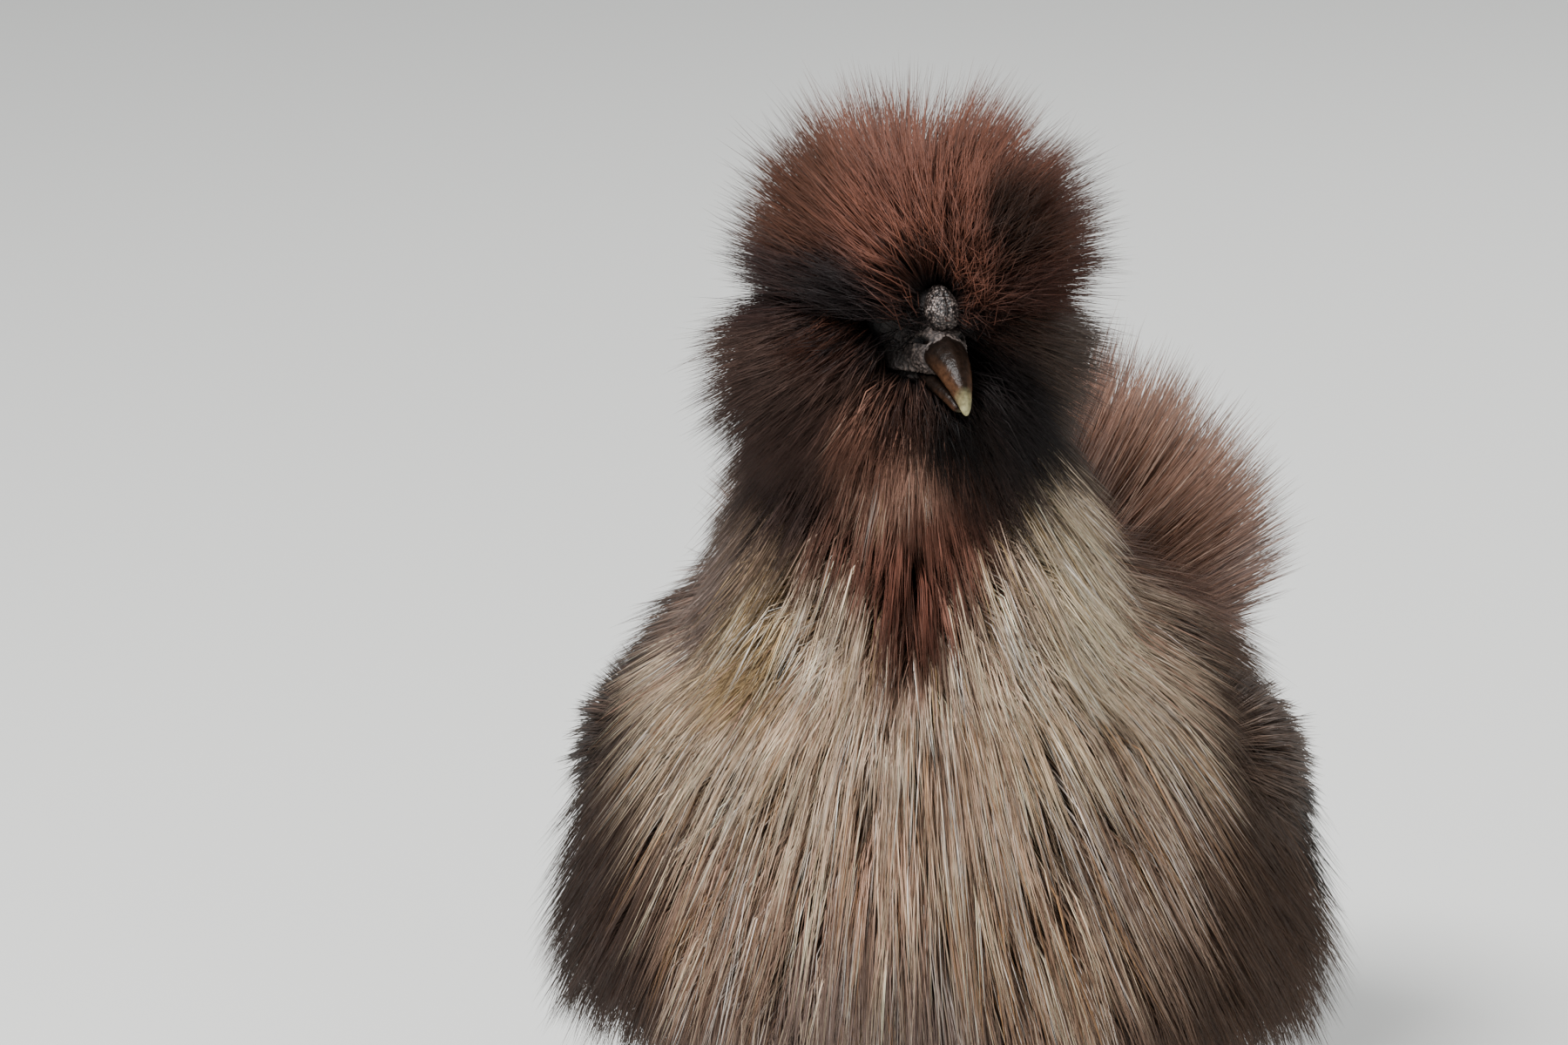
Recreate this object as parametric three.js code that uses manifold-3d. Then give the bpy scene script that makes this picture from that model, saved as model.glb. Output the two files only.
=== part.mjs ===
// A silkie hen, bearded and crested, standing with its head turned to its left.
// Units are millimetres, +Z is up and the breast faces -Y, so +X is the bird's left.
// Each coated part is a dense core with flat, tapered locks that overlap along its lie.
import * as THREE from 'three';
import { mergeVertices } from 'three/addons/utils/BufferGeometryUtils.js';
import Module from 'manifold-3d';

const wasm = await Module();
wasm.setup();
const { Manifold, Mesh } = wasm;

// Driving dimensions
const STAND_HEIGHT = 300;             // floor to the tips of the crest
const SKULL = new THREE.Vector3(3, -62, 240);  // midway between the eyes
const HEAD_TURN = THREE.MathUtils.degToRad(30);  // to the bird's left
const HEAD_DIP = THREE.MathUtils.degToRad(14);   // bill down
const FOOT_APART = 31;                // from the middle to each shank
const SADDLE_LEAN = 8;                // rump carried a little to the bird's left
const TAIL_LEAN = 10;
const GAP = 0.3;                      // between nodes that meet

const CREST_RISE = STAND_HEIGHT - 257;
const LYING = Math.PI / 2;            // turns a stack's rings so that they follow one another forwards

// Colours of the plumage, horn and skin
const COLOURS = {
  crest: '#4b2f27', muff: '#2c2322', beard: '#57382d', hackle: '#8d775f', breast: '#a08668',
  saddle: '#77594c', tail: '#6d5246', wing: '#5b473e', thigh: '#6f5749', skin: '#2b2629',
  comb: '#2e2929', horn: '#5d4a3f', hornTip: '#a69a7c', eye: '#120d0c', claw: '#6f655c', foot: '#34302f',
};

// An egg-shaped form. It gives the point at a turn about its own upright axis, 0 facing the breast
// and a quarter turn facing the bird's left, and a level from -1 at its bottom to 1 at its top.
function egg({ centre, side, front, back, up, down, pitch = 0, yaw = 0, frame = null }) {
  const place = new THREE.Matrix4().makeRotationFromEuler(new THREE.Euler(pitch, 0, yaw, 'ZYX'));
  place.setPosition(...centre);
  if (frame) place.premultiply(frame);
  return (turn, level, grow = 0) => {
    const lift = level * Math.PI / 2;
    const ring = Math.cos(lift);
    const ahead = Math.cos(turn);
    return new THREE.Vector3(
      (side + grow) * ring * Math.sin(turn),
      -((ahead > 0 ? front : back) + grow) * ring * ahead,
      ((level > 0 ? up : down) + grow) * Math.sin(lift),
    ).applyMatrix4(place);
  };
}

// A form through level rings, each [height, middle, side, front, back], that closes at both ends
function stack(rings, frame = new THREE.Matrix4()) {
  const last = rings.length - 1;
  const pick = (at, part) => rings[THREE.MathUtils.clamp(at, 0, last)][part];
  return (turn, level, grow = 0) => {
    const along = THREE.MathUtils.clamp((level + 1) / 2, 0, 1) * last;
    const start = Math.min(Math.floor(along), last - 1);
    const t = along - start;
    const value = (part) => {
      const [a, b, c, d] = [-1, 0, 1, 2].map((step) => pick(start + step, part));
      const smooth = b + 0.5 * t * (c - a + t * (2 * a - 5 * b + 4 * c - d + t * (3 * (b - c) + d - a)));
      return THREE.MathUtils.clamp(smooth, Math.min(b, c), Math.max(b, c));
    };
    const ends = 2 * Math.min(along, last - along);
    const wide = grow * Math.min(1, ends);
    const ahead = Math.cos(turn);
    const reach = (ahead > 0 ? value(3) : value(4)) + wide;
    const rise = grow * (level > 0.99 ? 1 : level < -0.99 ? -1 : 0);
    return new THREE.Vector3(
      (value(2) + wide) * Math.sin(turn),
      value(1) - reach * ahead,
      value(0) + rise,
    ).applyMatrix4(frame);
  };
}

// A closed geometry of three.js as a solid
function toSolid(geometry) {
  geometry.deleteAttribute('normal');
  geometry.deleteAttribute('uv');
  const merged = mergeVertices(geometry, 1e-4);
  return new Manifold(new Mesh({
    numProp: 3,
    vertProperties: new Float32Array(merged.attributes.position.array),
    triVerts: new Uint32Array(merged.index.array),
  }));
}

// The solid inside a form, from a sphere whose points are moved onto it
function formSolid(form, sides, levels, grow = 0) {
  const ball = new THREE.SphereGeometry(1, sides, levels);
  const position = ball.attributes.position;
  for (let i = 0; i < position.count; i += 1) {
    const column = i % (sides + 1);
    const row = Math.floor(i / (sides + 1));
    const turn = (column % sides) / sides * 2 * Math.PI;
    const level = 1 - 2 * row / levels;
    const p = form(turn, level, grow);
    position.setXYZ(i, p.x, p.y, p.z);
  }
  return toSolid(ball);
}

// Random draws that come out the same at each run
function drawFrom(seed) {
  let state = seed;
  return () => {
    state = (state * 1664525 + 1013904223) % 4294967296;
    return state / 4294967296;
  };
}

const LOCK_BODY = [[0, 0.4], [0.55, 1]];   // places along a lock and the share of its width there
const LOCK_SECTION = [[1, -0.3], [0, 1], [-1, -0.3]];  // across and outwards: flat below, ridged above

// One flat, tapered lock along a bent line, closed at both ends
function lockSolid({ root, tip, outward, width, thick, bow }, grow = 0) {
  const middle = root.clone().lerp(tip, 0.5).addScaledVector(outward, bow);
  const run = tip.clone().sub(root).normalize();
  const end = tip.clone().addScaledVector(run, 2 * grow);
  const line = new THREE.QuadraticBezierCurve3(root, middle, end);
  const points = LOCK_BODY.flatMap(([along, share]) => {
    const centre = line.getPoint(along);
    const tangent = line.getTangent(along);
    const across = new THREE.Vector3().crossVectors(tangent, outward).normalize();
    const above = new THREE.Vector3().crossVectors(across, tangent).normalize();
    return LOCK_SECTION.map(([a, b]) => centre.clone()
      .addScaledVector(across, a * (width / 2 * share + 3 * grow))
      .addScaledVector(above, b * (thick * share + 1.5 * grow)));
  });
  points.push(end);
  const faces = [0, 1, 2];
  for (let side = 0; side < 3; side += 1) {
    const next = (side + 1) % 3;
    faces.push(side, next + 3, next, side, side + 3, next + 3, side + 3, 6, next + 3);
  }
  const vertProperties = new Float32Array(points.flatMap((p) => [p.x, p.y, p.z]));
  return new Manifold(new Mesh({ numProp: 3, vertProperties, triVerts: new Uint32Array(faces) }));
}

// Locks in rows round a core. A row has the level of its roots, how far down its tips lie on the
// outline, how many locks go how far round, and how far they turn towards the tail.
function locksOn({ core, outline, rows, seed, sink = 5, bow = 3 }) {
  const draw = drawFrom(seed);
  const vary = (share) => 1 + share * (2 * draw() - 1);
  const made = [];
  rows.forEach((row, index) => {
    const { level, drop, count, from = -180, to = 180, sweep = 0, width, thick = 2.4 } = row;
    const full = to - from >= 360;
    for (let i = 0; i < count; i += 1) {
      const share = (i + 0.5 * (index % 2) + (full ? 0 : 0.25) + 0.24 * (draw() - 0.5)) / count;
      const turn = THREE.MathUtils.degToRad(from + (to - from) * share);
      const start = THREE.MathUtils.clamp(level + 0.04 * (2 * draw() - 1), -0.95, 0.97);
      const surface = core(turn, start);
      const outward = core(turn, start, 1).sub(surface).normalize();
      const swing = THREE.MathUtils.degToRad(sweep) * Math.sin(turn);
      const end = Math.max(start - drop * vary(0.12), -0.98);
      const tip = outline(turn + swing, end);
      made.push({
        root: surface.addScaledVector(outward, -sink),
        tip, outward, width: width * vary(0.12), thick, bow: bow * vary(0.3),
      });
    }
  });
  return made;
}

// Head frame: the bill points along its own -Y
const headFrame = new THREE.Matrix4()
  .makeRotationFromEuler(new THREE.Euler(HEAD_DIP, 0, HEAD_TURN, 'ZYX')).setPosition(SKULL);
const inHead = (shape) => egg({ ...shape, frame: headFrame });
const mirrored = (shape, side) => ({
  ...shape, centre: [side * shape.centre[0], shape.centre[1], shape.centre[2]], yaw: side * (shape.yaw ?? 0),
});

// Skull, snout, jaw and ear lobes
const SKULL_SHAPE = { centre: [0, 0, 0], side: 14, front: 17, back: 19, up: 13, down: 13 };
const SNOUT_SHAPE = { centre: [0, -15, -2.5], side: 8, front: 11, back: 12, up: 7, down: 8 };
const JAW_SHAPE = { centre: [0, -5, -8.5], side: 12, front: 15, back: 16, up: 6, down: 6.5 };
const LOBE_SHAPE = { centre: [13, 9, -6], side: 2.4, front: 4, back: 4, up: 5, down: 6 };

// Coats: the core of each and the outline that its tips reach
const CREST = {
  core: egg({ centre: [3, -48, 260], side: 29, front: 23, back: 27, up: 16, down: 16 }),
  outline: egg({ centre: [3, -51, 257], side: 50, front: 44, back: 46, up: CREST_RISE, down: 26 }),
};
const BEARD = {
  core: inHead({ centre: [0, -10, -24], side: 17, front: 13, back: 14, up: 9, down: 14 }),
  outline: inHead({ centre: [0, -12, -27], side: 36, front: 31, back: 20, up: 15, down: 40 }),
};
const muff = (side) => ({
  core: inHead(mirrored({ centre: [17, 2, -15], side: 13, front: 12, back: 13, up: 8, down: 15 }, side)),
  outline: inHead(mirrored({ centre: [26, 2, -16], side: 31, front: 24, back: 27, up: 17, down: 36 }, side)),
});
const NECK = {
  core: stack([
    [136, -40, 0, 0, 0], [140, -40, 26, 24, 26], [155, -41, 33, 32, 36], [180, -45, 27, 28, 29],
    [205, -49, 21, 22, 23], [226, -51, 15, 16, 17], [232, -52, 0, 0, 0],
  ]),
  outline: stack([
    [128, -42, 0, 0, 0], [134, -42, 62, 58, 56], [150, -42, 63, 59, 55], [170, -44, 57, 53, 49],
    [190, -47, 50, 43, 45], [206, -49, 42, 31, 43], [222, -50, 32, 20, 38], [236, -50, 22, 14, 28],
    [240, -50, 0, 0, 0],
  ]),
};
const TORSO = {
  core: stack([
    [44, 4, 0, 0, 0], [48, 4, 46, 40, 42], [62, 4, 64, 62, 64], [86, 4, 71, 78, 80], [112, 4, 68, 84, 84],
    [137, 4, 58, 82, 80], [157, 4, 42, 72, 70], [170, 4, 24, 46, 46], [174, 4, 0, 0, 0],
  ]),
  outline: stack([
    [24, 6, 0, 0, 0], [28, 6, 86, 70, 72], [42, 6, 104, 88, 92], [64, 6, 106, 100, 102],
    [90, 6, 99, 107, 108], [116, 6, 92, 112, 112], [141, 6, 83, 110, 108], [161, 6, 62, 100, 98],
    [180, 6, 38, 66, 76], [188, 6, 0, 0, 0],
  ]),
};
const RUMP_PITCH = -1.15;             // the rump's and tail's own axes point backwards
const SADDLE = {
  core: egg({
    centre: [SADDLE_LEAN, 60, 157], side: 50, front: 31, back: 26, up: 42, down: 40, pitch: RUMP_PITCH,
  }),
  outline: egg({
    centre: [SADDLE_LEAN, 63, 158], side: 79, front: 58, back: 42, up: 62, down: 58, pitch: RUMP_PITCH,
  }),
};
const TAIL = {
  core: egg({
    centre: [TAIL_LEAN, 98, 150], side: 30, front: 26, back: 26, up: 20, down: 30, pitch: RUMP_PITCH,
  }),
  outline: egg({
    centre: [TAIL_LEAN, 100, 152], side: 46, front: 44, back: 42, up: 42, down: 40, pitch: RUMP_PITCH,
  }),
};
const WING_PITCH = -2.0;              // the wing's length runs back and down
const wing = (side) => ({
  core: egg(mirrored({
    centre: [72, 4, 112], side: 11, front: 24, back: 26, up: 46, down: 36, pitch: WING_PITCH,
  }, side)),
  outline: egg(mirrored({
    centre: [72, 14, 104], side: 26, front: 31, back: 34, up: 66, down: 42, pitch: WING_PITCH,
  }, side)),
});
const thigh = (side) => ({
  core: egg(mirrored({ centre: [40, 8, 62], side: 34, front: 34, back: 38, up: 30, down: 30 }, side)),
  outline: egg(mirrored({ centre: [50, 8, 60], side: 55, front: 54, back: 60, up: 36, down: 42 }, side)),
});

// Bill: rings at their distance ahead of the eyes, each [ahead, height, half width, below, above]
const billFrame = headFrame.clone().multiply(new THREE.Matrix4().makeRotationX(LYING));
const UPPER_BILL = stack([
  [15, -2, 0, 0, 0], [17, -2, 4.6, 3.4, 3.8], [22, -2.3, 5.5, 3.7, 4.6], [27, -3.1, 4.8, 3.3, 4.3],
  [32, -4.8, 3.6, 2.9, 3.6], [36, -7.1, 2.3, 2.4, 2.8], [38.6, -9.6, 1.1, 1.4, 1.8], [39.2, -10.8, 0, 0, 0],
], billFrame);
const LOWER_BILL = stack([
  [14, -9, 0, 0, 0], [16, -9, 4.4, 2.6, 1.8], [22, -9, 4.8, 2.7, 1.9], [27, -9.5, 3.9, 2.3, 2.1],
  [31, -10.3, 2.8, 1.7, 1.9], [34.5, -11.3, 1.6, 0.9, 1.2], [35.5, -11.6, 0, 0, 0],
], billFrame);

// Walnut comb: a low cushion with rows of grains round it
const COMB = { centre: [0, -15.5, 8], side: 3.7, front: 6, back: 6, up: 4.2, down: 5.5, pitch: 0.35 };
const GRAIN_HEIGHT = 0.9;
const GRAINS_ROUND = 5;
const GRAIN_ROWS = 3;
function combForm(turn, level, grow = 0) {
  const round = Math.sin(GRAINS_ROUND * turn + Math.PI * Math.floor((level + 1) * GRAIN_ROWS));
  const grain = Math.max(0, round) * Math.sin(Math.PI * ((level + 1) * GRAIN_ROWS % 1)) ** 2;
  return inHead(COMB)(turn, level, grow + GRAIN_HEIGHT * grain);
}
const combRoom = (grow) => formSolid(inHead(COMB), 12, 8, GRAIN_HEIGHT + grow);

// Eyes sit deep in the skull inside a ring of lid
const EYE_RADIUS = 4.9;
const EYE_PLACE = [9.9, -5.5, 1.5];
const LID_RADIUS = 4.1;
const LID_THICK = 1.05;
function atEye(geometry, side) {
  const [x, y, z] = EYE_PLACE;
  return toSolid(geometry.translate(side * x, y, z).applyMatrix4(headFrame));
}
const eyeBall = (side) => (grow) => atEye(new THREE.SphereGeometry(EYE_RADIUS + grow, 8, 6), side);
const lidRing = (side) => (grow) => {
  const ring = new THREE.TorusGeometry(LID_RADIUS, LID_THICK + grow, 4, 12);
  return atEye(ring.rotateY(LYING).rotateZ(side * -0.2).translate(side * 3.7, -0.8, 0), side);
};

// Nostrils and the line of the mouth, cut into the head
const NOSTRIL = { centre: [5.1, -20.5, 0.2], side: 1.8, front: 2.3, back: 2.3, up: 1, down: 1, pitch: 0.3 };
const MOUTH_CUT = { width: 34, length: 14, height: 0.9, at: [0, -19.5, -6.7] };
const mouthCut = () => {
  const slot = new THREE.BoxGeometry(MOUTH_CUT.width, MOUTH_CUT.length, MOUTH_CUT.height);
  return toSolid(slot.translate(...MOUTH_CUT.at).applyMatrix4(headFrame));
};

// Shanks and the five toes of each foot. A toe has its heading from straight ahead towards the
// outside, its length, its pitch and its root height.
const SHANK = [
  [5, 2, 0, 0, 0], [7, 2, 6, 6.5, 6], [12, 3, 5, 5, 5], [25, 6, 4.4, 4.4, 4.6],
  [44, 10, 5.4, 5.6, 5.6], [56, 13, 6.5, 6.5, 6.5], [59, 13, 0, 0, 0],
];
const TOES = [
  { heading: 2, length: 36, pitch: 0, height: 5.4, thick: 3.9 },
  { heading: 34, length: 30, pitch: 0, height: 5.2, thick: 3.6 },
  { heading: -32, length: 26, pitch: 0, height: 5.2, thick: 3.6 },
  { heading: 197, length: 15, pitch: 0, height: 5.2, thick: 3.4 },
  { heading: 222, length: 15, pitch: 0.55, height: 9, thick: 3.2 },
];
const TOE_BANDS = 2;
const CLAW = [
  [-2, 0, 0, 0, 0], [-1.4, 0, 1.6, 1.6, 1.6], [3, 0.3, 1.5, 1.4, 1.4], [7, -0.4, 0.8, 0.8, 0.8],
  [9, -1.3, 0, 0, 0],
];
const footFrame = (side) => new THREE.Matrix4().makeTranslation(side * FOOT_APART, 2, 0);
function toeFrame(side, { heading, pitch }, root) {
  const turn = THREE.MathUtils.degToRad(side * heading);
  return footFrame(side)
    .multiply(new THREE.Matrix4().makeTranslation(0, 0, root))
    .multiply(new THREE.Matrix4().makeRotationFromEuler(new THREE.Euler(LYING - pitch, 0, turn, 'ZYX')));
}
function toeForm(side, toe) {
  const { length, height, thick, pitch } = toe;
  const drop = pitch ? 0 : height - 2.6;
  const rings = [[-3, 0, 0, 0, 0]];
  for (let i = 0; i <= 2 * TOE_BANDS; i += 1) {
    const along = i / (2 * TOE_BANDS);
    const wide = thick * (1 - 0.35 * along) * (i % 2 ? 0.9 : 1.06);
    rings.push([along * (length - 1.5), -drop * along, wide, pitch ? wide : wide + 1.6, wide]);
  }
  rings.push([length, -drop, 0, 0, 0]);
  return stack(rings, toeFrame(side, toe, height));
}
function clawForm(side, toe) {
  const { length, height, pitch } = toe;
  const tip = toeFrame(side, toe, pitch ? height : 2.6)
    .multiply(new THREE.Matrix4().makeTranslation(0, 0, length));
  return stack(CLAW, tip);
}
// Feathering down the outside of the shank and the outer toes
function footLocks(side) {
  const draw = drawFrom(side > 0 ? 71 : 83);
  const places = [];
  for (let i = 0; i < 6; i += 1) {
    const low = i / 5;
    const heading = THREE.MathUtils.degToRad(side * (150 - 125 * low));
    const away = new THREE.Vector3(Math.sin(heading), -Math.cos(heading), 0);
    const root = new THREE.Vector3(side * FOOT_APART, 4 - 6 * low, 30 - 22 * low).addScaledVector(away, 1.5);
    const tip = root.clone().addScaledVector(away, 24 + 7 * draw()).setZ(11 - 8 * low);
    places.push({ root, tip, outward: new THREE.Vector3(0, 0, 1), width: 12, thick: 2, bow: 4 });
  }
  return places;
}

// Rows of locks, from the roots nearest the head to those nearest the tips of the coat
const CREST_ROWS = [
  { level: -0.05, drop: 0.3, count: 10, width: 28 },
  { level: 0.2, drop: 0.26, count: 10, width: 27 },
  { level: 0.44, drop: 0.2, count: 8, width: 28 },
  { level: 0.7, drop: 0.08, count: 6, width: 27 },
  { level: 0.93, drop: 0, count: 3, width: 24 },
];
const BEARD_ROWS = [
  { level: 0.1, drop: 0.3, count: 6, from: -110, to: 110, width: 21 },
  { level: -0.25, drop: 0.34, count: 6, from: -110, to: 110, width: 21 },
  { level: -0.6, drop: 0.3, count: 5, from: -100, to: 100, width: 19 },
];
const muffRows = (side) => {
  const span = side > 0 ? { from: 5, to: 165 } : { from: -165, to: -5 };
  return [
    { level: 0.45, drop: 0.3, count: 4, ...span, width: 17 },
    { level: 0.05, drop: 0.35, count: 4, ...span, width: 19 },
    { level: -0.4, drop: 0.35, count: 3, ...span, width: 19 },
  ];
};
const NECK_ROWS = [
  { level: 0.78, drop: 0.4, count: 3, from: 105, to: 255, width: 27 },
  { level: 0.5, drop: 0.45, count: 4, from: 100, to: 260, width: 32 },
  { level: 0.2, drop: 0.48, count: 9, width: 34 },
  { level: -0.12, drop: 0.48, count: 10, width: 36 },
  { level: -0.45, drop: 0.45, count: 11, width: 36 },
];
const TORSO_ROWS = [
  { level: 0.14, drop: 0.4, count: 6, from: -66, to: 66, sweep: 8, width: 38 },
  { level: -0.12, drop: 0.4, count: 6, from: -66, to: 66, sweep: 12, width: 42 },
  { level: -0.38, drop: 0.36, count: 6, from: -66, to: 66, sweep: 12, width: 42 },
  { level: -0.62, drop: 0.26, count: 5, from: -60, to: 60, sweep: 8, width: 40 },
  { level: 0.6, drop: 0.42, count: 3, from: 62, to: 118, width: 36 },
  { level: 0.6, drop: 0.42, count: 3, from: -118, to: -62, width: 36 },
  { level: 0.5, drop: 0.4, count: 5, from: 115, to: 245, width: 34 },
  { level: 0.1, drop: 0.4, count: 6, from: 118, to: 242, sweep: 8, width: 36 },
  { level: -0.18, drop: 0.4, count: 6, from: 118, to: 242, sweep: 12, width: 38 },
  { level: -0.48, drop: 0.34, count: 5, from: 125, to: 235, sweep: 12, width: 38 },
];
const SADDLE_ROWS = [
  { level: -0.45, drop: -0.44, count: 6, from: -100, to: 100, width: 39 },
  { level: -0.1, drop: -0.44, count: 7, from: -105, to: 105, width: 39 },
  { level: 0.25, drop: -0.44, count: 6, from: -110, to: 110, width: 36 },
];
const TAIL_ROWS = [
  { level: -0.05, drop: -0.5, count: 7, width: 26 },
  { level: 0.4, drop: -0.4, count: 6, width: 24 },
];
const wingRows = (side) => {
  const span = side > 0 ? { from: 5, to: 175 } : { from: -175, to: -5 };
  return [
    { level: -0.65, drop: -0.4, count: 4, ...span, width: 20 },
    { level: -0.25, drop: -0.45, count: 4, ...span, width: 23 },
    { level: 0.25, drop: -0.55, count: 5, ...span, width: 18 },
  ];
};
const THIGH_ROWS = [
  { level: 0.25, drop: 0.5, count: 7, width: 32 },
  { level: -0.2, drop: 0.5, count: 8, width: 32 },
];

// Nodes are cleared of one another in the order in which they are added: what comes first keeps its shape.
const FLOOR = [0, 0, 1];
const SMALLEST = 0.1;                 // detail that is left out of the solids
const bird = new THREE.Group();
const headGroup = new THREE.Group();
headGroup.applyMatrix4(headFrame);
bird.add(headGroup);
const cleared = [];
function addNode(name, colour, pieces, { cuts = [], room = null, group = bird } = {}) {
  const joined = Manifold.union(pieces.map((piece) => piece(0))).simplify(SMALLEST);
  const cut = [...cleared, ...cuts]
    .reduce((solid, other) => solid.subtract(other), joined)
    .trimByPlane(FLOOR, 0);
  const whole = cut.simplify(SMALLEST).decompose().sort((a, b) => b.volume() - a.volume())[0];
  cleared.push(Manifold.union((room ?? pieces).map((piece) => piece(GAP))).simplify(SMALLEST));
  const { vertProperties, triVerts, numProp } = whole.getMesh();
  const position = new Float32Array(vertProperties.length / numProp * 3);
  for (let i = 0; i < position.length / 3; i += 1) {
    position.set(vertProperties.subarray(i * numProp, i * numProp + 3), i * 3);
  }
  const geometry = new THREE.BufferGeometry();
  geometry.setAttribute('position', new THREE.BufferAttribute(position, 3));
  geometry.setIndex(new THREE.BufferAttribute(triVerts, 1));
  geometry.applyMatrix4(group.matrix.clone().invert());
  geometry.computeVertexNormals();
  const material = new THREE.MeshStandardMaterial({ color: colour, roughness: 0.8, metalness: 0 });
  const mesh = new THREE.Mesh(geometry, material);
  mesh.name = name;
  group.add(mesh);
}

const solidOf = (shape, sides, levels) => (grow) => formSolid(shape, sides, levels, grow);
function coat({ core, outline }, rows, seed, options = {}) {
  const locks = locksOn({ core, outline, rows, seed, ...options });
  return [solidOf(core, 14, 8), ...locks.map((lock) => (grow) => lockSolid(lock, grow))];
}
const SIDES = [['left', 1], ['right', -1]];

addNode('beak_upper', COLOURS.horn, [solidOf(UPPER_BILL, 8, 10)], { group: headGroup });
addNode('beak_lower', COLOURS.horn, [solidOf(LOWER_BILL, 8, 8)], { group: headGroup });
addNode('comb', COLOURS.comb, [solidOf(combForm, 15, 9)], { room: [combRoom], group: headGroup });
for (const [name, side] of SIDES) addNode(`eye_${name}`, COLOURS.eye, [eyeBall(side)], { group: headGroup });
addNode('head', COLOURS.skin, [
  solidOf(inHead(SKULL_SHAPE), 14, 9),
  solidOf(inHead(SNOUT_SHAPE), 10, 7),
  solidOf(inHead(JAW_SHAPE), 12, 7),
  ...SIDES.flatMap(([, side]) => [solidOf(inHead(mirrored(LOBE_SHAPE, side)), 6, 5), lidRing(side)]),
], {
  cuts: [mouthCut(), ...SIDES.map(([, side]) => solidOf(inHead(mirrored(NOSTRIL, side)), 6, 4)(0))],
  group: headGroup,
});
for (const [name, side] of SIDES) {
  TOES.forEach((toe, i) => {
    addNode(`claw_${name}_${i + 1}`, COLOURS.claw, [solidOf(clawForm(side, toe), 4, 5)]);
  });
  const shank = stack(SHANK, footFrame(side));
  addNode(`foot_${name}`, COLOURS.foot, [
    solidOf(shank, 8, 8), ...TOES.map((toe) => solidOf(toeForm(side, toe), 6, 8)),
    ...footLocks(side).map((lock) => (grow) => lockSolid(lock, grow)),
  ]);
}
addNode('torso', COLOURS.breast, coat(TORSO, TORSO_ROWS, 24));
addNode('neck', COLOURS.hackle, coat(NECK, NECK_ROWS, 15));
for (const [name, side] of SIDES) {
  addNode(`thigh_${name}`, COLOURS.thigh, coat(thigh(side), THIGH_ROWS, 22 + side));
}
addNode('tail', COLOURS.tail, coat(TAIL, TAIL_ROWS, 20));
addNode('saddle', COLOURS.saddle, coat(SADDLE, SADDLE_ROWS, 19));
for (const [name, side] of SIDES) {
  addNode(`wing_${name}`, COLOURS.wing, coat(wing(side), wingRows(side), 17 + side));
}
addNode('beard', COLOURS.beard, coat(BEARD, BEARD_ROWS, 12), { group: headGroup });
for (const [name, side] of SIDES) {
  addNode(`muff_${name}`, COLOURS.muff, coat(muff(side), muffRows(side), 13 + side), { group: headGroup });
}
addNode('crest', COLOURS.crest, coat(CREST, CREST_ROWS, 11, { bow: 7 }), { group: headGroup });

// The origin is on the floor, below the middle of the whole bird
const extent = new THREE.Box3().setFromObject(bird, true);
const middle = extent.getCenter(new THREE.Vector3());
bird.position.set(-middle.x, -middle.y, -extent.min.z);

export default bird;
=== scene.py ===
# A silkie hen as a still, life-size model: skin, bill, comb, eyes and feet under a coat of fine tufts.
# Sizes are in millimetres in the bird's own frame and become metres in the shared frame at the end.
import math
from functools import partial
import bpy
import numpy as np
from mathutils import Matrix, Vector


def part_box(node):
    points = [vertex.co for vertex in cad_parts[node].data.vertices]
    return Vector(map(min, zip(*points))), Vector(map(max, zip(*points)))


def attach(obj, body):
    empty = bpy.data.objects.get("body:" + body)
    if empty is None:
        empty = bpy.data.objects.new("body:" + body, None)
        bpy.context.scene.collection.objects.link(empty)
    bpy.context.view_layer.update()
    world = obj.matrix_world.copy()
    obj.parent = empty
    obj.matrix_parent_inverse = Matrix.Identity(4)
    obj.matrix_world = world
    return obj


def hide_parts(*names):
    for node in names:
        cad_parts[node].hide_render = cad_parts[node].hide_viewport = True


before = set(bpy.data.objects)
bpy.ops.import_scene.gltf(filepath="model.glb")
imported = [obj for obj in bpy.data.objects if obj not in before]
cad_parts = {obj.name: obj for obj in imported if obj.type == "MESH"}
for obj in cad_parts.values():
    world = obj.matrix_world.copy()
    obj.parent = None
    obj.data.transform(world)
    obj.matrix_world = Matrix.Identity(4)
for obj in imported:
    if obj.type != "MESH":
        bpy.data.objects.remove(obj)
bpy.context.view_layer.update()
bpy.ops.object.select_all(action="DESELECT")

metre = 0.001
skull = Vector((3, -62, 240))           # midway between the eyes
headTurn = math.radians(30)             # to the bird's left
headDip = math.radians(14)              # bill down
headPlace = Matrix.Translation(skull) @ Matrix.Rotation(headTurn, 4, "Z") @ Matrix.Rotation(headDip, 4, "X")
eyePlace = Vector((9.9, -5.5, 1.5))     # left eye, in the head's frame
footApart = 31
saddleLean, tailLean = 8, 10            # the rump is carried a little to the bird's left
rumpPitch = -1.15                       # the rump's and tail's own axes point backwards
wingPitch = -2.0                        # the wing's length runs back and down
sides = (("left", 1), ("right", -1))

# The eyes tell where the shared frame has the bird's own origin
eyeCorners = [corner for node in ("eye_left", "eye_right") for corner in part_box(node)]
eyeMiddle = sum((Vector(corner) for corner in eyeCorners), Vector()) / 4
offset = eyeMiddle / metre - headPlace @ Vector((0, eyePlace.y, eyePlace.z))


# Forms: each gives the points at a turn about its own upright axis, 0 facing the breast, and at a level from
# -1 at its bottom to 1 at its top, moved outwards by grow
def placed(points, place):
    turned = np.array(place.to_3x3())
    return points @ turned.T + np.array(place.translation)


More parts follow.
